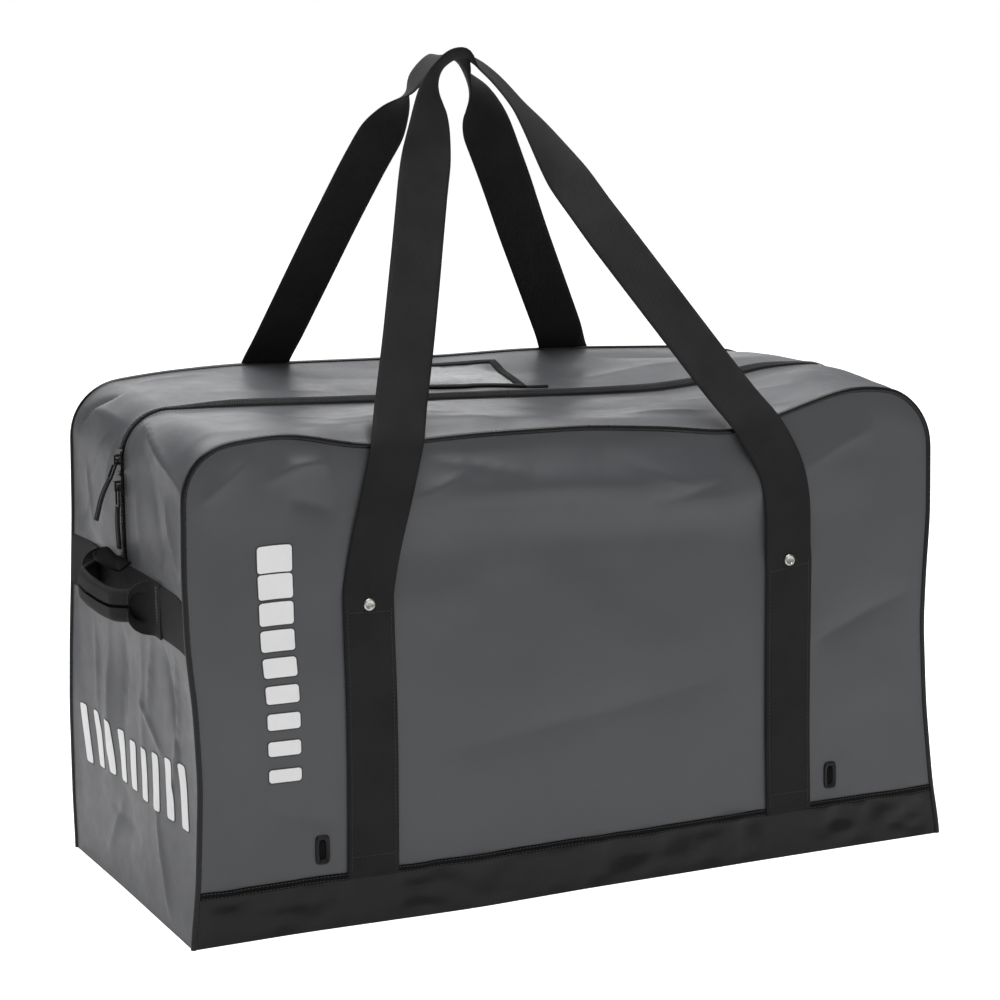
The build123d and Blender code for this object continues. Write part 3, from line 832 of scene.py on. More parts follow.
piping_vinyl = coated_material(
    "piping_vinyl", (0.004, 0.004, 0.004, 1.0), (0.007, 0.007, 0.007, 1.0), (0.24, 0.34),
    0.0, 0.10, 0.30)
for word, column, sign in (("front", 0, -1.0), ("back", -1, 1.0)):
    seam = strip[:, column].copy()
    out_y = np.zeros_like(seam)
    out_y[:, 1] = sign
    x, z, out_x, out_z = arch_path(strip_s)
    outward = np.stack([out_x, np.zeros_like(x), out_z], -1)
    run = np.linspace(0, len(seam) - 1, 700)
    seam = read_line(run, np.arange(len(seam)), seam)
    seam = np.concatenate([seam[:3], soften(seam, 3.0)[3:-3], seam[-3:]])
    outward = read_line(run, np.arange(len(x)), outward)
    outward = unit(soften(outward, 6.0))
    seam = seam - outward * piping_inset
    seam[:, 1] -= sign * piping_inset
    seam[:, 2] = np.maximum(seam[:, 2], 0.3)
    along, square, third = path_frame(seam, outward)
    piece = sweep(word + "_piping_cord", seam, square, third, oval(2 * piping_r, 2 * piping_r, 14),
                  piping_vinyl)
    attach(piece, "bag")
    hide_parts(word + "_piping")
    allowance = seam - outward * 5.5
    allowance[:, 1] -= sign * 6.5
    allowance[:, 2] = np.maximum(allowance[:, 2], 6.0)
    lean = outward.copy()
    lean[:, 1] += sign
    along, square, third = path_frame(allowance[::3], unit(lean[::3]))
    piece = sweep(word + "_seam_tape", allowance[::3], square, third, oval(10.0, 2.2, 10),
                  black_tarpaulin)
    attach(piece, "bag")
    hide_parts(word + "_seam_binding")


# Hem tapes: the band's top edge is turned in and covered by a narrow black tape, sewn down
# with two rows of thread.
def on_cloth(cloth, normal, u, v, lift):
    """Points on a cloth at fractional grid places (u, v), raised by lift along its normal."""
    a = np.clip(np.floor(u).astype(int), 0, cloth.shape[0] - 2)
    b = np.clip(np.floor(v).astype(int), 0, cloth.shape[1] - 2)
    s, t = (u - a)[..., None], (v - b)[..., None]

    def read(field):
        near = field[a, b] * (1 - t) + field[a, b + 1] * t
        far = field[a + 1, b] * (1 - t) + field[a + 1, b + 1] * t
        return near * (1 - s) + far * s

    direction = unit(read(normal))
    return read(cloth) + direction * np.asarray(lift)[..., None], direction


def on_face(word, x, z, lift):
    """A point of a long face at its cut place (x, z)."""
    u = np.interp(x, face_x, np.arange(len(face_x)))
    share = (z - band_height) / (arch_top(x) - band_height)
    v = np.where(z < band_height, z / band_height * band_rows, band_rows + share * panel_rows)
    return on_cloth(faces_of_bag[word], face_normals[word], u, v, lift)


def on_strip(s, y, lift):
    """A point of the strip at its cut place (s, y)."""
    u = np.interp(s, strip_s, np.arange(len(strip_s)))
    v = np.interp(y, strip_y, np.arange(len(strip_y)))
    return on_cloth(strip, strip_normal, u, v, lift)


def laid_on(name, place, u, v, lift, thick, material):
    """A flat piece lying on a cloth: place(u, v, lift) gives its outer face."""
    outer, normal = place(u, v, np.broadcast_to(lift, u.shape))
    return cloth_mesh(name, outer, normal, thick, np.stack([u, v], -1), material)


def stitch_rows(name, rows, normals, length, gap, wide, material):
    """Sewing thread: short rounded bars end to end along each row of points, every one a
    six-sided bar, all in one mesh."""
    spots, faces, first = [], [], 0
    ring = oval(wide, wide * 0.8, 6)
    for row, normal in zip(rows, normals):
        run = run_along(row)
        count = max(int(run[-1] / (length + gap)), 1)
        start = (np.arange(count) + 0.5) * run[-1] / count
        ends = []
        for offset, shrink in ((-0.5, 0.3), (-0.32, 1.0), (0.32, 1.0), (0.5, 0.3)):
            at = start + offset * length
            spot = read_line(at, run, row)
            up = unit(read_line(at, run, normal))
            ahead = read_line(at + 0.5, run, row) - read_line(at - 0.5, run, row)
            side = unit(np.cross(up, unit(ahead)))
            ends.append(spot[:, None] + shrink * (
                side[:, None] * ring[None, :, :1] + up[:, None] * ring[None, :, 1:2]))
        bars = np.stack(ends, 1)
        total = bars.shape[0]
        index = first + np.arange(total * 24).reshape(total, 4, 6)
        a, b = index[:, :-1], index[:, 1:]
        side_faces = np.stack([a, np.roll(a, -1, 2), np.roll(b, -1, 2), b], -1)
        spots.append(bars.reshape(-1, 3))
        faces += side_faces.reshape(-1, 4).tolist()
        faces += index[:, 0, ::-1].tolist() + index[:, 3].tolist()
        first += total * 24
    piece = placed(name, smooth_mesh(name, np.concatenate(spots), faces), material)
    bpy.context.view_layer.update()
    return piece


def thread_material(name, colour):
    """Twisted polyester thread: its colour lightly mottled, matt."""
    material, tree, shader = new_material(name)
    place = tree.nodes.new("ShaderNodeTexCoord").outputs["Object"]
    fibre = noise_node(tree, place, 1800.0, 2.0)
    dark = tuple(part * 0.6 for part in colour[:3]) + (1.0,)
    tree.links.new(blend_colours(tree, fibre, dark, colour), shader.inputs["Base Color"])
    shader.inputs["Roughness"].default_value = 0.6
    return material


black_thread = thread_material("black_thread", (0.030, 0.030, 0.032, 1.0))
grey_thread = thread_material("grey_thread", (0.16, 0.16, 0.17, 1.0))
hem_tape = coated_material(
    "hem_tape", (0.006, 0.006, 0.006, 1.0), (0.010, 0.010, 0.011, 1.0), (0.5, 0.62), 0.0, 0.4, 0.05)
for word in ("front", "back"):
    u, v = np.meshgrid(np.linspace(-half_length + 2, half_length - 2, 198),
                       band_height + np.array((-3.6, -3.3, 0.0, 3.1, 3.4)), indexing="ij")
    edge = np.where(np.abs(v - band_height) > 3.35, 0.25, 1.3)
    outer, normal = on_face(word, u, v, edge)
    piece = cloth_mesh(word + "_hem_tape", outer, normal, 1.0, np.stack([u, v], -1), hem_tape)
    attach(piece, "bag")
    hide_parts(word + "_band_hem")
    line = np.linspace(-half_length + 4, half_length - 4, 300)
    rows, ups = zip(*(on_face(word, line, np.full(300, band_height + off), np.full(300, 1.35))
                      for off in (-2.2, 2.0)))
    piece = stitch_rows(word + "_hem_thread", rows, ups, 2.6, 0.9, 0.8, black_thread)
    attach(piece, "bag")


# Flap facings: a second layer of the grey cloth under the outer edge of each flap, sewn into the piped
# seam.
facing_x = 262.0
facing_w = 36.0
for half, sign in (("front", -1.0), ("rear", 1.0)):
    s, y = np.meshgrid(
        np.linspace(over_top(-facing_x), over_top(facing_x), 120),
        np.linspace(sign * (half_width - 1.0), sign * (half_width - facing_w), 10), indexing="ij")
    piece = laid_on(half + "_flap_facing", on_strip, s, y, -1.3, 0.6, grey_tarpaulin)
    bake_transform(piece)


# Webbing: 50 mm black polyester tape with a fine twill and woven edges. On each long side one
# length runs up from the hem, is sewn and riveted to the panel, leaves it as a carry loop,
# turns on edge over the top, and comes down the same way on the other side.
strap_t = 2.4
fold_z = rivet_z + 12.0


def smooth_path(points, spacing, spread):
    """A line through points, stepped evenly and softened, with both ends kept."""
    points = np.array(points, float)
    run = run_along(points)
    count = max(int(run[-1] / spacing), 8)
    line = read_line(np.linspace(0.0, run[-1], count + 1), run, points)
    pad = int(spread * 3)
    before = 2.0 * line[0] - line[pad:0:-1]
    after = 2.0 * line[-1] - line[-2:-pad - 2:-1]
    return soften(np.concatenate([before, line, after]), spread)[pad:-pad]


def twill_group():
    """Node group for a twill tape, on a UV in metres: Relief is slanted ribs with their yarns, Shade is
    the same ribs as a light and dark mask, Cloud is a slow noise over the object."""
    group, given, result = value_group(
        "twill_tape", {"Rib Count": 620.0, "Half Width": 0.025},
        {"Relief": "NodeSocketFloat", "Shade": "NodeSocketFloat", "Cloud": "NodeSocketFloat"})
    place = group.nodes.new("ShaderNodeTexCoord").outputs["UV"]
    parts = group.nodes.new("ShaderNodeSeparateXYZ")
    group.links.new(place, parts.inputs[0])
    slant = math_node(group, "ADD", parts.outputs[0], parts.outputs[1])
    count = given.outputs["Rib Count"]
    rib_turn = math_node(group, "MULTIPLY", math_node(group, "MULTIPLY", slant, count), 6.2832)
    rib = math_node(group, "SINE", rib_turn, 0.0)
    across_turn = math_node(group, "MULTIPLY", parts.outputs[1], 5200.0)
    yarn = math_node(group, "SINE", across_turn, 0.0)
    relief = math_node(group, "MULTIPLY_ADD", yarn, 0.35, rib)
    group.links.new(relief, result.inputs["Relief"])
    # Shade: the rib height as a mask for painted shade, dark in the grooves and light on the tops
    group.links.new(spread_values(group, relief, -1.35, 1.35, 0.0, 1.0), result.inputs["Shade"])
    object_place = group.nodes.new("ShaderNodeTexCoord").outputs["Object"]
    group.links.new(noise_node(group, object_place, 26.0, 4.0), result.inputs["Cloud"])
    return group


twill = twill_group()


def webbing_material(name, dark, light, ribs, rough):
    """Woven tape: the ribs tint it from dark in their grooves to light on their tops, which is painted
    shade of the rib relief, and slow clouds add random tone and vary its roughness.
    """
    material, tree, shader = new_material(name)
    effect = tree.nodes.new("ShaderNodeGroup")
    effect.node_tree = twill
    effect.inputs["Rib Count"].default_value = ribs
    # Colour share: painted shade of the rib relief (dark grooves, light tops) plus random tone from the
    # cloud
    shade = math_node(tree, "MULTIPLY_ADD", effect.outputs["Cloud"], 0.8, effect.outputs["Shade"])
    share = spread_values(tree, shade, 0.2, 1.4, 0.0, 1.0)
    tree.links.new(blend_colours(tree, share, dark, light), shader.inputs["Base Color"])
    finish = spread_values(tree, effect.outputs["Cloud"], 0.3, 0.7, rough, rough + 0.12)
    tree.links.new(finish, shader.inputs["Roughness"])
    add_bump(tree, shader, effect.outputs["Relief"], 0.45, 0.0003)
    shader.inputs["Specular IOR Level"].default_value = 0.14
    return material


black_webbing = webbing_material(
    "black_webbing", (0.003, 0.003, 0.003, 1.0), (0.030, 0.030, 0.030, 1.0), 620.0, 0.62)


def tape_profile(width, thick, across_points):
    """The tape's section: two flat faces with thinner rounded edges, anticlockwise."""
    share = np.linspace(-1.0, 1.0, across_points)
    half = thick / 2.0 * (1.0 - 0.75 * np.abs(share) ** 14) ** 0.5
    low = np.stack([share * width / 2.0, -half], -1)
    high = np.stack([share[::-1] * width / 2.0, half[::-1]], -1)
    return np.concatenate([low, high])


loop_paths = {
    "front": (
        (-223, -167, 322), (-217, -167, 350), (-202, -164, 400), (-190, -158, 442),
        (-160, -119, 528), (-138, -88, 594), (-116, -58, 670), (-101, -42, 716),
        (-92, -28, 740), (-86, -19, 756), (-79, -12, 768), (-70, -7, 777), (-60, -5, 781),
        (-50, -4, 781), (-38, -4, 776), (-26, -7, 767), (-14, -11, 755), (-1, -17, 738),
        (16, -28, 712), (37, -46, 671), (62, -72, 625), (115, -108, 543),
        (164, -142, 467), (186, -157, 436), (210, -165, 397), (221, -167, 358),
        (223, -167, 322)),
    "back": (
        (-223, 167, 322), (-218, 167, 350), (-208, 166, 400), (-192, 158, 476),
        (-170, 120, 548), (-149, 88, 613), (-128, 54, 677), (-114, 36, 712),
        (-104, 27, 733), (-96, 20, 749), (-88, 13, 764), (-79, 9, 776), (-69, 6, 783),
        (-59, 5, 784), (-50, 6, 780), (-42, 11, 768), (-33, 17, 752), (-21, 25, 732),
        (-3, 37, 706), (26, 58, 659), (62, 90, 603), (128, 142, 500), (150, 158, 466),
        (190, 166, 400), (216, 167, 350), (223, 167, 322)),
}
# How far the tape is turned on edge (degrees) at a distance in mm past the loop's top
loop_twists = {
    "front": ((-125, 0), (-62, 50), (-36, 88), (-8, 90), (14, 72), (80, 66), (165, 0)),
    "back": ((-100, 0), (-72, 60), (-58, 112), (-6, 114), (16, 90), (46, 88), (64, 40),
             (100, 0)),
}
# Where the tape's width points when it stands on edge
on_edge = np.array((0.436, 0.882, -0.18))
for word, sign in (("front", -1.0), ("back", 1.0)):
    loop = smooth_path(loop_paths[word], 4.0, 2.6)
    count = len(loop)
    # Sewn stretches, from below the hem tape up to the fold, on both sides of the loop
    sewn_z = np.linspace(band_height - 3.0, fold_z, 70)
    spans = []
    for end in (-1.0, 1.0):
        mid = on_face(word, np.full(70, end * strap_x), sewn_z, np.full(70, 1.2))[0]
        one, two = (
            on_face(word, np.full(70, end * strap_x + off), sewn_z, np.full(70, 1.2))[0]
            for off in (-20.0, 20.0))
        spans.append(((mid + one + two) / 3.0 + sign * np.array((0.0, 0.7, 0.0)),
                      unit(two - one)))
    up, down = spans[0], (spans[1][0][::-1], spans[1][1][::-1])
    shift_up = np.linspace(1.0, 0.0, 26)[:, None] ** 2 * (up[0][-1] - loop[0])
    shift_down = np.linspace(0.0, 1.0, 26)[:, None] ** 2 * (down[0][0] - loop[-1])
    loop[:26] += shift_up
    loop[-26:] += shift_down
    # Below the piping the free tape lies on the face and on the cord
    cut_top = arch_top(loop[:, 0]) - 1.0
    seam_z = on_face(word, loop[:, 0], cut_top, np.full(count, 3.0))[0][:, 2]
    low_z = np.minimum(loop[:, 2] + cut_top - seam_z, cut_top)
    clear = 3.0 + 2.0 * smoothstep(30, 8, cut_top - low_z)
    beneath = on_face(word, loop[:, 0], low_z, clear)[0]
    short = np.maximum(sign * (beneath[:, 1] - loop[:, 1]), 0.0)
    short = short * smoothstep(seam_z + 16.0, seam_z, loop[:, 2])
    loop[:, 1] += sign * soften(short[:, None], 3.0)[:, 0]
    centre = np.concatenate([up[0][:-1], loop, down[0][1:]])
    centre = np.concatenate([centre[:1], soften(centre, 1.6)[1:-1], centre[-1:]])
    past_top = (np.arange(count) - np.argmax(loop[:, 2])) * 4.0
    spots, degrees = np.array(loop_twists[word], float).T
    twist = soften(np.radians(np.interp(past_top, spots, degrees)), 1.6)[:, None]
    ahead = unit(np.gradient(loop, axis=0))
    flat_way = np.array((1.0, 0.0, 0.0)) - ahead * ahead[:, :1]
    edge_way = unit(on_edge - ahead * (ahead @ on_edge)[:, None])
    turn_way = unit(flat_way) * np.cos(twist) + edge_way * np.sin(twist)
    side = np.concatenate([up[1][:-1], turn_way, down[1][1:]])
    side = unit(soften(side, 1.2))
    # The tape keeps its face to the side it hangs on, so its width turns with the path
    along, side, facing = path_frame(centre, side)
    piece = sweep(word + "_carry_webbing", centre, side, facing,
                  tape_profile(strap_w, strap_t, 15), black_webbing)
    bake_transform(piece)
    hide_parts(word + "_anchor_webbing", word + "_handle")
    rows, ups = [], []
    for span_centre, span_side in spans:
        for off in (-21.5, 21.5):
            rows.append(span_centre[2:-4] + span_side[2:-4] * off
                        + sign * np.array((0.0, strap_t / 2.0 + 0.05, 0.0)))
            ups.append(np.tile((0.0, sign, 0.0), (64, 1)))
        for stop in (5, -6):
            cross = span_centre[stop] + span_side[stop] * np.linspace(-21, 21, 20)[:, None]
            rows.append(cross + sign * np.array((0.0, strap_t / 2.0 + 0.05, 0.0)))
            ups.append(np.tile((0.0, sign, 0.0), (20, 1)))
    piece = stitch_rows(word + "_webbing_thread", rows, ups, 2.8, 1.0, 0.75, black_thread)
    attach(piece, "bag")


# Rivets: a nickel cap with a rounded edge and a dished middle on a post through the webbing,
# a washer-shaped burr inside the panel.
def turned(name, places, outs, profile, material, around=32):
    """A profile of (radius, height) turned about out at each place; the first and last
    points lie on the axis, and each closes with a fan of triangles."""
    spots, faces, first = [], [], 0
    turn = np.linspace(0.0, 2.0 * math.pi, around, endpoint=False)
    profile = np.array(profile, float)
    for place, out in zip(places, outs):
        out = unit(np.array(out, float))
        side = unit(np.cross(out, (0.12, 0.31, 0.94)))
        third = np.cross(out, side)
        ring = np.cos(turn)[:, None] * side + np.sin(turn)[:, None] * third
        body = place + profile[1:-1, None, :1] * ring + profile[1:-1, None, 1:] * out
        rows = len(profile) - 2
        index = first + np.arange(rows * around).reshape(rows, around)
        a, b = index[:-1], index[1:]
        grid = np.stack([a, np.roll(a, -1, 1), np.roll(b, -1, 1), b], -1).reshape(-1, 4)
        faces += grid.tolist()
        low, high = first + rows * around, first + rows * around + 1
        spots += [body.reshape(-1, 3), (place + profile[0, 1] * out)[None],
                  (place + profile[-1, 1] * out)[None]]
        faces += np.stack([np.roll(index[0], -1), index[0], np.full(around, low)], 1).tolist()
        faces += np.stack([index[-1], np.roll(index[-1], -1), np.full(around, high)], 1).tolist()
        first += rows * around + 2
    return placed(name, smooth_mesh(name, np.concatenate(spots), faces), material)


def metal_material(name, bright, worn, rough, metallic):
    """Plated or painted metal: bright on top, worn in small scuffs."""
    material, tree, shader = new_material(name)
    place = tree.nodes.new("ShaderNodeTexCoord").outputs["Object"]
    scuff = noise_node(tree, place, 420.0, 5.0, 0.7)
    mask = spread_values(tree, scuff, 0.48, 0.70, 0.0, 1.0)
    tree.links.new(blend_colours(tree, mask, bright, worn), shader.inputs["Base Color"])
    finish = spread_values(tree, scuff, 0.3, 0.7, rough, rough + 0.2)
    tree.links.new(finish, shader.inputs["Roughness"])
    shader.inputs["Metallic"].default_value = metallic
    return material


nickel = metal_material("nickel", (0.62, 0.61, 0.58, 1.0), (0.32, 0.31, 0.29, 1.0), 0.22, 1.0)
for word, sign in (("front", -1.0), ("back", 1.0)):
    x = np.array((-strap_x, strap_x))
    level = np.full(2, rivet_z)
    caps, outs = on_face(word, x, level, np.full(2, 0.9 + strap_t))
    piece = turned(word + "_rivet_caps", caps, outs, (
        (0, -3.5), (2.0, -3.5), (2.0, -0.3), (5.3, -0.2), (5.65, 0.35), (5.4, 1.0), (4.7, 1.45),
        (4.0, 1.5), (3.5, 1.3), (3.0, 0.95), (1.5, 0.85), (0, 0.85)), nickel)
    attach(piece, "bag")
    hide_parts(word + "_rivets")
    burrs, outs = on_face(word, x, level, np.full(2, -cloth_t - 1.3))
    piece = turned(word + "_rivet_backs", burrs, outs, (
        (0, -1.4), (1.9, -1.3), (2.1, -0.5), (4.6, -0.3), (5.0, 0.3), (4.7, 1.1), (2, 1.3),
        (0, 1.3)), nickel)
    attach(piece, "bag")
    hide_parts(word + "_rivet_burrs")


# Vent eyelets: black moulded oblongs with cut corners, a rounded slot and a raised lip, pressed through
# the panel low down at both ends and held by a washer inside. A very dark sheet lies in each slot:
# painted shade for the dark inside of the bag, standing also for a black mesh behind the slot.
def moulded_ring(name, word, places, outline_outer, outline_slot, section, material):
    """Rings between the outer outline and the slot: section gives (share of the way in,
    height) all round, closing on itself through the panel."""
    spots, faces, first = [], [], 0
    around = len(outline_outer)
    for x, z in places:
        rings = []
        centre, out = on_face(word, np.array([x]), np.array([z]), np.array([0.0]))
        side = unit(np.cross((0.0, 0.0, 1.0), out[0]))
        upright = unit(np.cross(out[0], side))
        for share, high in section:
            line = outline_outer * (1 - share) + outline_slot * share
            rings.append(centre[0] + line[:, :1] * side + line[:, 1:] * upright + high * out[0])
        body = np.array(rings)
        index = first + np.arange(body.shape[0] * around).reshape(body.shape[0], around)
        a, b = index, np.roll(index, -1, 0)
        grid = np.stack([a, np.roll(a, -1, 1), np.roll(b, -1, 1), b], -1).reshape(-1, 4)
        faces += grid.tolist()
        spots.append(body.reshape(-1, 3))
        first += body.shape[0] * around
    return placed(name, smooth_mesh(name, np.concatenate(spots), faces), material)


def cut_corner_outline(width, height, power, count):
    """A superellipse: a soft oblong whose corners get squarer with power."""
    turn = np.linspace(0.0, 2.0 * math.pi, count, endpoint=False)
    c, s = np.cos(turn), np.sin(turn)
    return np.stack([width / 2 * np.sign(c) * np.abs(c) ** (2 / power),
                     height / 2 * np.sign(s) * np.abs(s) ** (2 / power)], -1)


eyelet_x, eyelet_z = 274.0, 76.0
black_plastic = coated_material(
    "black_plastic", (0.005, 0.005, 0.0055, 1.0), (0.009, 0.009, 0.010, 1.0), (0.32, 0.44),
    0.0, 0.12, 0.25)
for word, sign in (("front", -1.0), ("back", 1.0)):
    places = ((-eyelet_x, eyelet_z), (eyelet_x, eyelet_z))
    outline = cut_corner_outline(14.0, 27.0, 5.0, 48)
    slot_line = cut_corner_outline(6.4, 18.4, 3.2, 48)
    piece = moulded_ring(word + "_vent_eyelets", word, places, outline, slot_line, (
        (0.0, -0.2), (0.02, 1.1), (0.10, 1.75), (0.30, 2.0), (0.52, 1.9), (0.62, 1.25),
        (0.82, 1.1), (0.95, 0.8), (1.0, 0.0), (1.0, -2.6), (0.75, -2.8), (0.6, -2.4),
        (0.6, -0.2)), black_plastic)
    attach(piece, "bag")
    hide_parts(word + "_eyelets")
    # A very dark sheet over the panel in the slot: painted shade for the inside of the bag, and a black
    # mesh
    piece = moulded_ring(word + "_vent_mesh_and_painted_shade", word, places, slot_line * 1.1, slot_line * 0.02, (
        (0.0, 0.25), (1.0, 0.25), (1.0, 0.05), (0.0, 0.05)), hem_tape)
    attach(piece, "bag")
    piece = moulded_ring(word + "_vent_washers", word, places, outline, slot_line, (
        (0.05, -1.2), (0.0, -1.6), (0.0, -2.2), (0.1, -2.6), (0.5, -2.6), (0.58, -2.0),
        (0.5, -1.2)), black_plastic)
    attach(piece, "bag")
    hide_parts(word + "_eyelet_washers")


# End webbing: the same tape laid flat across each end from seam to seam, just under the
# zipper. A second length is sewn over it near both seams. Between them it stands off the bag
# as a grip, with both its edges turned outward over its flat middle until they nearly meet.
grip_foot_y = 92.0
grip_out = 27.0
grip_crease = 13.2
flap_start = 13.24
flap_step = 0.98


def end_place(side):
    """place(z, y, lift) on the left (-1) or right (1) end of the strip."""
    def place(z, y, lift):
        return on_strip(z if side < 0 else strip_length - z, y, lift)
    return place


for word, side in (("left", -1.0), ("right", 1.0)):
    at_end = end_place(side)
    z, y = np.meshgrid(webbing_z + np.linspace(-25.0, 25.0, 13),
                       np.linspace(-half_width + 1.0, half_width - 1.0, 90), indexing="ij")
    thin = 1.0 - 0.6 * (np.abs(z - webbing_z) / 25.0) ** 16
    piece = laid_on(word + "_end_band", at_end, z, y, 2.0 * thin, 1.8, black_webbing)
    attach(piece, "bag")
    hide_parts(word + "_end_webbing")

    run = np.concatenate([np.linspace(-grip_foot_y - 7.0, -40.0, 60),
                          np.linspace(-40.0, 40.0, 41)[1:-1],
                          np.linspace(40.0, grip_foot_y + 7.0, 60)])
    across_tape = np.concatenate([
        -25.0 + flap_step * np.arange(13), np.linspace(-12.0, 12.0, 9),
        flap_start + flap_step * np.arange(13)])
    v, y = np.meshgrid(across_tape, run, indexing="ij")
    fold = smoothstep(80.0, 60.0, np.abs(y))
    reach = grip_out * smoothstep(86.0, 42.0, np.abs(y)) - 3.0 * (y / 60.0) ** 2 * fold
    swing = math.pi * 0.98 * fold
    bow = 2.0 * np.sin(y / 31.0 + side) * fold
    past = np.maximum(np.abs(v) - grip_crease, 0.0)
    high_z = webbing_z + bow + np.sign(v) * (
        np.minimum(np.abs(v), grip_crease) + past * np.cos(swing))
    gap = (2.6 + 0.5 * np.sin(y / 15.0)) * fold * (1.0 - np.exp(-past / 1.0))
    out = reach + 2.6 + past * np.sin(swing) + gap + 1.2 * fold * (v / 12.0) * (past == 0.0)
    base, normal = at_end(np.full_like(y, webbing_z), y, out)
    outer = base.copy()
    outer[..., 2] += high_z - webbing_z
    facing = face_out(outer, 1.0 if side < 0 else -1.0)
    if (facing[:, 2] * normal[:, 2]).sum() < 0:
        facing = -facing
    grip = cloth_mesh(word + "_folded_grip", outer, facing, 2.2, np.stack([v, y], -1),
                      black_webbing)
    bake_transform(grip)
    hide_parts(word + "_grip")
    rows, ups = [], []
    line = np.linspace(-22.5, 22.5, 30)
    for place_y in (-grip_foot_y, -grip_foot_y + 3.0, grip_foot_y, grip_foot_y - 3.0):
        points, up = at_end(webbing_z + line, np.full(30, place_y), np.full(30, 2.75))
        rows.append(points)
        ups.append(up)
    piece = stitch_rows(word + "_grip_thread", rows, ups, 2.2, 0.7, 0.8, grey_thread)
    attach(piece, "bag")
    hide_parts(word + "_grip_feet")


# Zipper: two black knitted tapes with a nylon coil on each edge, from the end webbing on the
# left, over the top, to the end webbing on the right. The flaps' turned edges stand beside it.
zip_tape = webbing_material(
    "zipper_tape", (0.004, 0.004, 0.004, 1.0), (0.012, 0.012, 0.013, 1.0), 1300.0, 0.7)
coil_nylon = coated_material(
    "coil_nylon", (0.008, 0.008, 0.009, 1.0), (0.018, 0.018, 0.019, 1.0), (0.3, 0.4), 0.0, 0.0, 0.3)
tooth_pitch = 2.4


def coil_teeth(name, low_s, high_s, side, material):
    """One side of the coil: half-round teeth across the edge of the tape, a new one each
    pitch, leaning a little and meeting those of the other side half a pitch on."""
    count = int((high_s - low_s) / tooth_pitch)
    s = low_s + (np.arange(count) + (0.25 if side < 0 else 0.75)) * tooth_pitch
    turn = np.linspace(0.0, math.pi, 6)
    along_tooth = np.cos(turn) * 0.78
    up_tooth = np.sin(turn) * 1.25 - 0.2
    rings = []
    for inward, shrink in ((-0.5, 0.55), (0.4, 1.0), (2.6, 1.0), (3.3, 0.6)):
        u = s[:, None] + along_tooth[None] * shrink + 0.10 * inward
        v = np.full_like(u, side * inward)
        lift = up_tooth * shrink + 0.5 + chain_tilt(u, v)
        rings.append(on_strip(u, v, lift)[0])
    body = np.stack(rings, 1)
    index = np.arange(count * 24).reshape(count, 4, 6)
    a, b = index[:, :-1], index[:, 1:]
    walls = np.stack([a, b, np.roll(b, -1, 2), np.roll(a, -1, 2)], -1).reshape(-1, 4)
    if side < 0:
        walls = walls[:, ::-1]
    caps = np.concatenate([index[:, 0], index[:, 3, ::-1]])
    if side < 0:
        caps = caps[:, ::-1]
    return placed(name, smooth_mesh(name, body.reshape(-1, 3), walls.tolist() + caps.tolist()), material)


for half, sign in (("front", -1.0), ("rear", 1.0)):
    for end, low_s, high_s in (
        ("left", zip_end_z - 26.0, strip_length / 2.0),
        ("right", strip_length / 2.0, strip_length - zip_end_z + 26.0),
    ):
        way = -1.0 if end == "left" else 1.0
        width = np.sort(sign * np.array((0.5, 2.5, 4.4, 5.6, 7.0, 8.5, 12.0, 16.5)))
        s, y = np.meshgrid(np.linspace(low_s, high_s, 230), width, indexing="ij")
        drop = chain_tilt(s, y) - 0.1 - 1.9 * smoothstep(4.6, 7.0, np.abs(y))
        outer, normal = on_strip(s, y, drop)
        tape = cloth_mesh(end + "_" + half + "_zip_tape", outer, normal, 0.6,
                          np.stack([s, y], -1), zip_tape)
        teeth = coil_teeth(end + "_" + half + "_zip_coil", low_s, high_s, sign, coil_nylon)
        for piece in (tape, teeth):
            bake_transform(piece)
            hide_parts(end + "_" + half + "_zip", half + "_top_zip")
        line = np.linspace(low_s + 30.0, high_s, 300)
        points, up = on_strip(line, np.full(300, sign * (zip_half + 3.2)), np.full(300, 0.75))
        thread = stitch_rows(end + "_" + half + "_zip_thread", [points], [up], 2.8, 1.0, 0.7,
                             grey_thread)
        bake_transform(thread)


# Finger tabs: a pointed leaf of doubled black cloth sewn over each end of the zipper, which
# stands straight out so that the bag can be held while the slider runs.
def leaf_tab(name, side, material):
    """A leaf of given half width at each place out from the bag, cupped across and drooping
    towards its tip."""
    out, v = np.meshgrid(np.linspace(0.0, 1.0, 34), np.linspace(-1.0, 1.0, 17), indexing="ij")
    half = 16.5 * (1.0 - out ** 2.6) ** 0.75 + 0.6
    reach = 27.0 * out + 1.0
    spot, normal = end_place(side)(np.full_like(out, zip_end_z - 1.0), v * 0.0, reach * 0.0)
    x = spot[..., 0] + side * reach
    y = v * half + 6.0 * out ** 2
    tilt = 0.52 * smoothstep(0.0, 0.45, out)
    z = zip_end_z + 0.8 + 2.0 * (v ** 2 - 0.4) * np.sin(math.pi * out * 0.5) + 4.0 * out ** 2
    z = z + v * half * tilt
    outer = np.stack([x, y, z], -1)
    up = face_out(outer, 1.0)
    if up[10, 8, 2] < 0:
        up = -up
    return cloth_mesh(name, outer, up, 2.0, np.stack([out * 27.0, v * 17.0], -1), material)


for word, side in (("left", -1.0), ("right", 1.0)):
    piece = leaf_tab(word + "_leaf_tab", side, hem_tape)
    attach(piece, "bag")
    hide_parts(word + "_zip_tab")


# Sliders and pull rings: cast bodies with black paint, rubbed thin in small scuffs. Each pull is a strip
# of black cloth folded through its ring and sewn.
black_paint = metal_material(
    "black_paint", (0.012, 0.012, 0.013, 1.0), (0.055, 0.055, 0.058, 1.0), 0.24, 0.55)
for name in ("upper_slider", "lower_slider", "upper_pull_ring", "lower_pull_ring"):
    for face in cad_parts[name].material_slots:
        face.material = black_paint

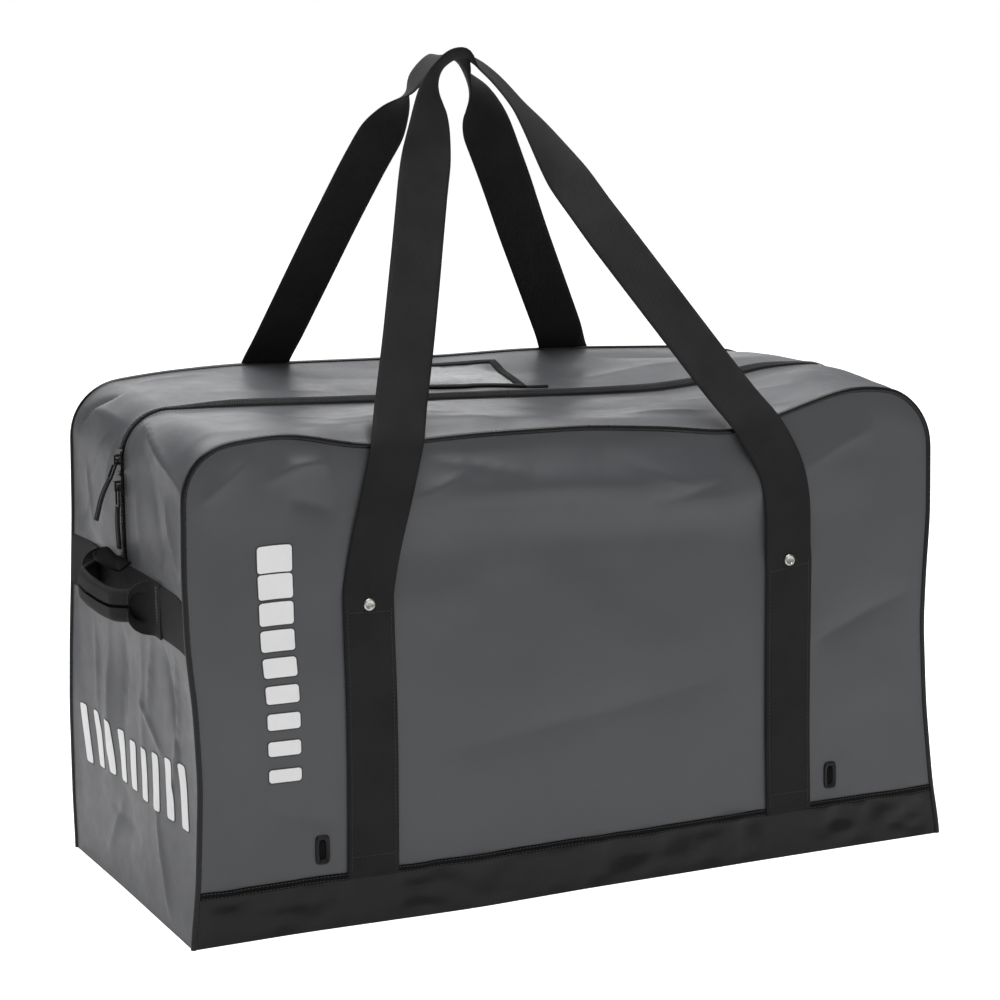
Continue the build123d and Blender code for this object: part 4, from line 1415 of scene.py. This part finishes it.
for name, lean in (("upper", 22.0), ("lower", 0.0)):
    low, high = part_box(name + "_pull_tab")
    middle = (np.array(low) + np.array(high)) * 500.0
    way = np.array((-math.sin(math.radians(lean)), 0.0, -math.cos(math.radians(lean))))
    face = np.array((-math.cos(math.radians(lean)), 0.0, math.sin(math.radians(lean))))
    step = np.linspace(-20.0, 19.5, 40)
    sway = 1.3 * np.sin((step + 20.0) / 39.5 * math.pi * 1.3) * (1.0 if lean else 0.5)
    centre = middle + way * step[:, None] + face * sway[:, None]
    along, square, facing = path_frame(centre, np.tile((0.0, 1.0, 0.0), (40, 1)))
    grow = 0.80 + 0.20 * smoothstep(-20.0, 14.0, step)
    piece = sweep(name + "_cloth_pull", centre, square * grow[:, None], facing,
                  tape_profile(8.5, 2.8, 9), black_webbing)
    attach(piece, name + "_pull")
    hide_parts(name + "_pull_tab")
    rows, ups = [], []
    for sign in (-1.0, 1.0):
        for off in (-2.6, 2.6):
            rows.append(centre[6:-3] + square[6:-3] * off + sign * facing[6:-3] * 1.42)
            ups.append(sign * facing[6:-3])
    piece = stitch_rows(name + "_pull_thread", rows, ups, 1.7, 0.6, 0.5, grey_thread)
    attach(piece, name + "_pull")


# Address window: a clear vinyl pocket on the rear half of the top, bound all round with
# black tape that runs out in a short tail, with a plain card inside.
window_x, window_y = -14.0, 84.0
window_w, window_d = 112.0, 100.0
window_tilt = math.radians(-7.0)


def at_window(u, v, lift):
    """A point of the window at (u, v) from its middle, turned a little as it was sewn."""
    x = window_x + u * math.cos(window_tilt) - v * math.sin(window_tilt)
    y = window_y + u * math.sin(window_tilt) + v * math.cos(window_tilt)
    return on_strip(over_top(x), y, lift)


def bound_frame(name, width, depth, tape, lift, thick, material):
    """A flat frame of tape round a rectangle: across the tape by along its outline, closed
    on itself, with a rounded inner edge."""
    side = np.linspace(-1.0, 1.0, 41)
    one = np.ones(41)
    outline = np.concatenate([
        np.stack([side, -one], -1)[:-1], np.stack([one, side], -1)[:-1],
        np.stack([-side, one], -1)[:-1], np.stack([-one, -side], -1)[:-1]])
    rings = []
    for share, high in ((0.0, 0.0), (0.0, 0.8), (0.08, 1.0), (0.92, 1.0), (1.0, 0.8), (1.0, 0.0)):
        half_w = width / 2 - tape * share
        half_d = depth / 2 - tape * share
        u, v = outline[:, 0] * half_w, outline[:, 1] * half_d
        rings.append(at_window(u, v, np.full(len(u), lift + thick * high))[0])
    body = np.array(rings)
    around = body.shape[1]
    index = np.arange(body.shape[0] * around).reshape(body.shape[0], around)
    a, b = index, np.roll(index, -1, 0)
    grid = np.stack([a, b, np.roll(b, -1, 1), np.roll(a, -1, 1)], -1).reshape(-1, 4)[:, ::-1]
    return placed(name, smooth_mesh(name, body.reshape(-1, 3), grid.tolist()), material)


binding = bound_frame("window_tape", window_w, window_d, 9.0, 0.3, 2.8, hem_tape)
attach(binding, "rear_flap")
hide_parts("window_binding")
tail_run = np.linspace(0.0, 1.0, 16)
tail_u = window_w / 2 - 4.0 + 26.0 * tail_run
tail_v = -window_d / 2 + 4.0 - 3.0 * tail_run ** 2
tail, tail_up = at_window(tail_u, tail_v, 1.2 + 1.2 * tail_run)
along, square, facing = path_frame(tail, np.cross(tail_up, np.gradient(tail, axis=0)))
piece = sweep("window_tape_tail", tail, square, facing, tape_profile(7.5, 1.4, 7), hem_tape)
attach(piece, "rear_flap")

clear_vinyl, vinyl_tree, vinyl_shader = new_material("clear_vinyl")
vinyl_place = vinyl_tree.nodes.new("ShaderNodeTexCoord").outputs["Object"]
vinyl_haze = noise_node(vinyl_tree, vinyl_place, 60.0, 4.0)
vinyl_shader.inputs["Base Color"].default_value = (0.22, 0.23, 0.235, 1.0)
vinyl_tree.links.new(
    spread_values(vinyl_tree, vinyl_haze, 0.3, 0.7, 0.10, 0.24), vinyl_shader.inputs["Roughness"])
vinyl_tree.links.new(
    spread_values(vinyl_tree, vinyl_haze, 0.3, 0.7, 0.42, 0.55), vinyl_shader.inputs["Alpha"])
add_bump(vinyl_tree, vinyl_shader, vinyl_haze, 0.4, 0.001)

card_paper, card_tree, card_shader = new_material("card_paper")
card_place = card_tree.nodes.new("ShaderNodeTexCoord").outputs["Object"]
card_grain = noise_node(card_tree, card_place, 700.0, 4.0)
card_tree.links.new(
    blend_colours(card_tree, card_grain, (0.20, 0.205, 0.21, 1.0), (0.26, 0.265, 0.27, 1.0)),
    card_shader.inputs["Base Color"])
card_shader.inputs["Roughness"].default_value = 0.75

sheet_u, sheet_v = 48.5, 42.5
u, v = np.meshgrid(
    np.linspace(-sheet_u, sheet_u, 60), np.linspace(-sheet_v, sheet_v, 52), indexing="ij")
pucker = 0.5 * ripple(60, 52, 9, 7, 41) + 0.6 * ripple(60, 52, 5, 14, 42) * (u / sheet_u) ** 2
pucker *= smoothstep(0, 8, sheet_u - np.abs(u)) * smoothstep(0, 8, sheet_v - np.abs(v))
piece = laid_on("window_clear_sheet", at_window, u, v, 1.5 + np.abs(pucker), 0.4, clear_vinyl)
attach(piece, "rear_flap")
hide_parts("window_vinyl")
u, v = np.meshgrid(np.linspace(-40.0, 40.0, 40), np.linspace(-34.0, 34.0, 34), indexing="ij")
piece = laid_on("window_card", at_window, u, v, np.full(u.shape, 0.75), 0.35, card_paper)
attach(piece, "rear_flap")
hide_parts("name_card")


# Printed marks: a plain bar pattern in white ink with a thin black edge, upright beside the
# left webbing on the front and level across the lower part of each end.
white_ink = coated_material(
    "white_ink", (0.86, 0.86, 0.86, 1.0), (0.93, 0.93, 0.93, 1.0), (0.42, 0.5), 0.0, 0.15)
black_ink = coated_material(
    "black_ink", (0.020, 0.020, 0.022, 1.0), (0.026, 0.026, 0.028, 1.0), (0.4, 0.5), 0.0, 0.15)


def rounded_bar(width, height, slant, radius, count_u, count_v):
    """A grid over a leaning bar with rounded corners: rows from top to bottom, each as
    wide as the bar is there."""
    v = np.linspace(-1.0, 1.0, count_v)
    y = height / 2.0 * np.sin(v * math.pi / 2.0)
    inside = np.clip(np.abs(y) - (height / 2.0 - radius), 0.0, radius)
    half = width / 2.0 - radius + np.sqrt(np.maximum(radius ** 2 - inside ** 2, 0.01))
    u = np.linspace(-1.0, 1.0, count_u)[:, None] * half[None]
    return u + slant * y[None], np.broadcast_to(y, u.shape)


def printed_bars(name, place, bars, grow, lift, material):
    """Bars (centre u, centre v, width, height, slant) printed on a cloth, as one piece."""
    parts = []
    for index, (at_u, at_v, width, height, slant) in enumerate(bars):
        u, v = rounded_bar(width + grow, height + grow, slant, 3.0 + grow / 2, 9, 25)
        parts.append(laid_on(name + "_" + str(index), place, u + at_u, v + at_v, lift, 0.25,
                             material))
    with bpy.context.temp_override(active_object=parts[0], selected_editable_objects=parts):
        bpy.ops.object.join()
    parts[0].name = name
    return parts[0]


def front_print(u, v, lift):
    """Place on the front panel, u across it and v up it."""
    return on_face("front", u, v, lift)


front_bars = [(-312.0, 150.0 + 25.5 * k, 32.0, 12.0 + 1.6 * k, 0.0) for k in range(9)]
end_bars = [(126.0 - 31.5 * k, 128.0 + 1.5 * math.sin(k), 15.0, 44.0 + 3.0 * abs(k - 4), 0.28)
            for k in range(9)]
prints = [("front_mark", front_print, front_bars)]
for word, side in (("left", -1.0), ("right", 1.0)):
    def end_print(u, v, lift, at_end=end_place(side), side=side):
        """Place on an end panel, u level along it and v up it."""
        return at_end(v, -side * u, lift)
    prints.append((word + "_mark", end_print, end_bars))
for name, place, bars in prints:
    for ink, grow, lift, material in (
        ("edge", 2.4, 0.30, black_ink), ("white", 0.0, 0.45, white_ink),
    ):
        piece = printed_bars(name + "_" + ink, place, bars, grow, lift, material)
        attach(piece, "bag")
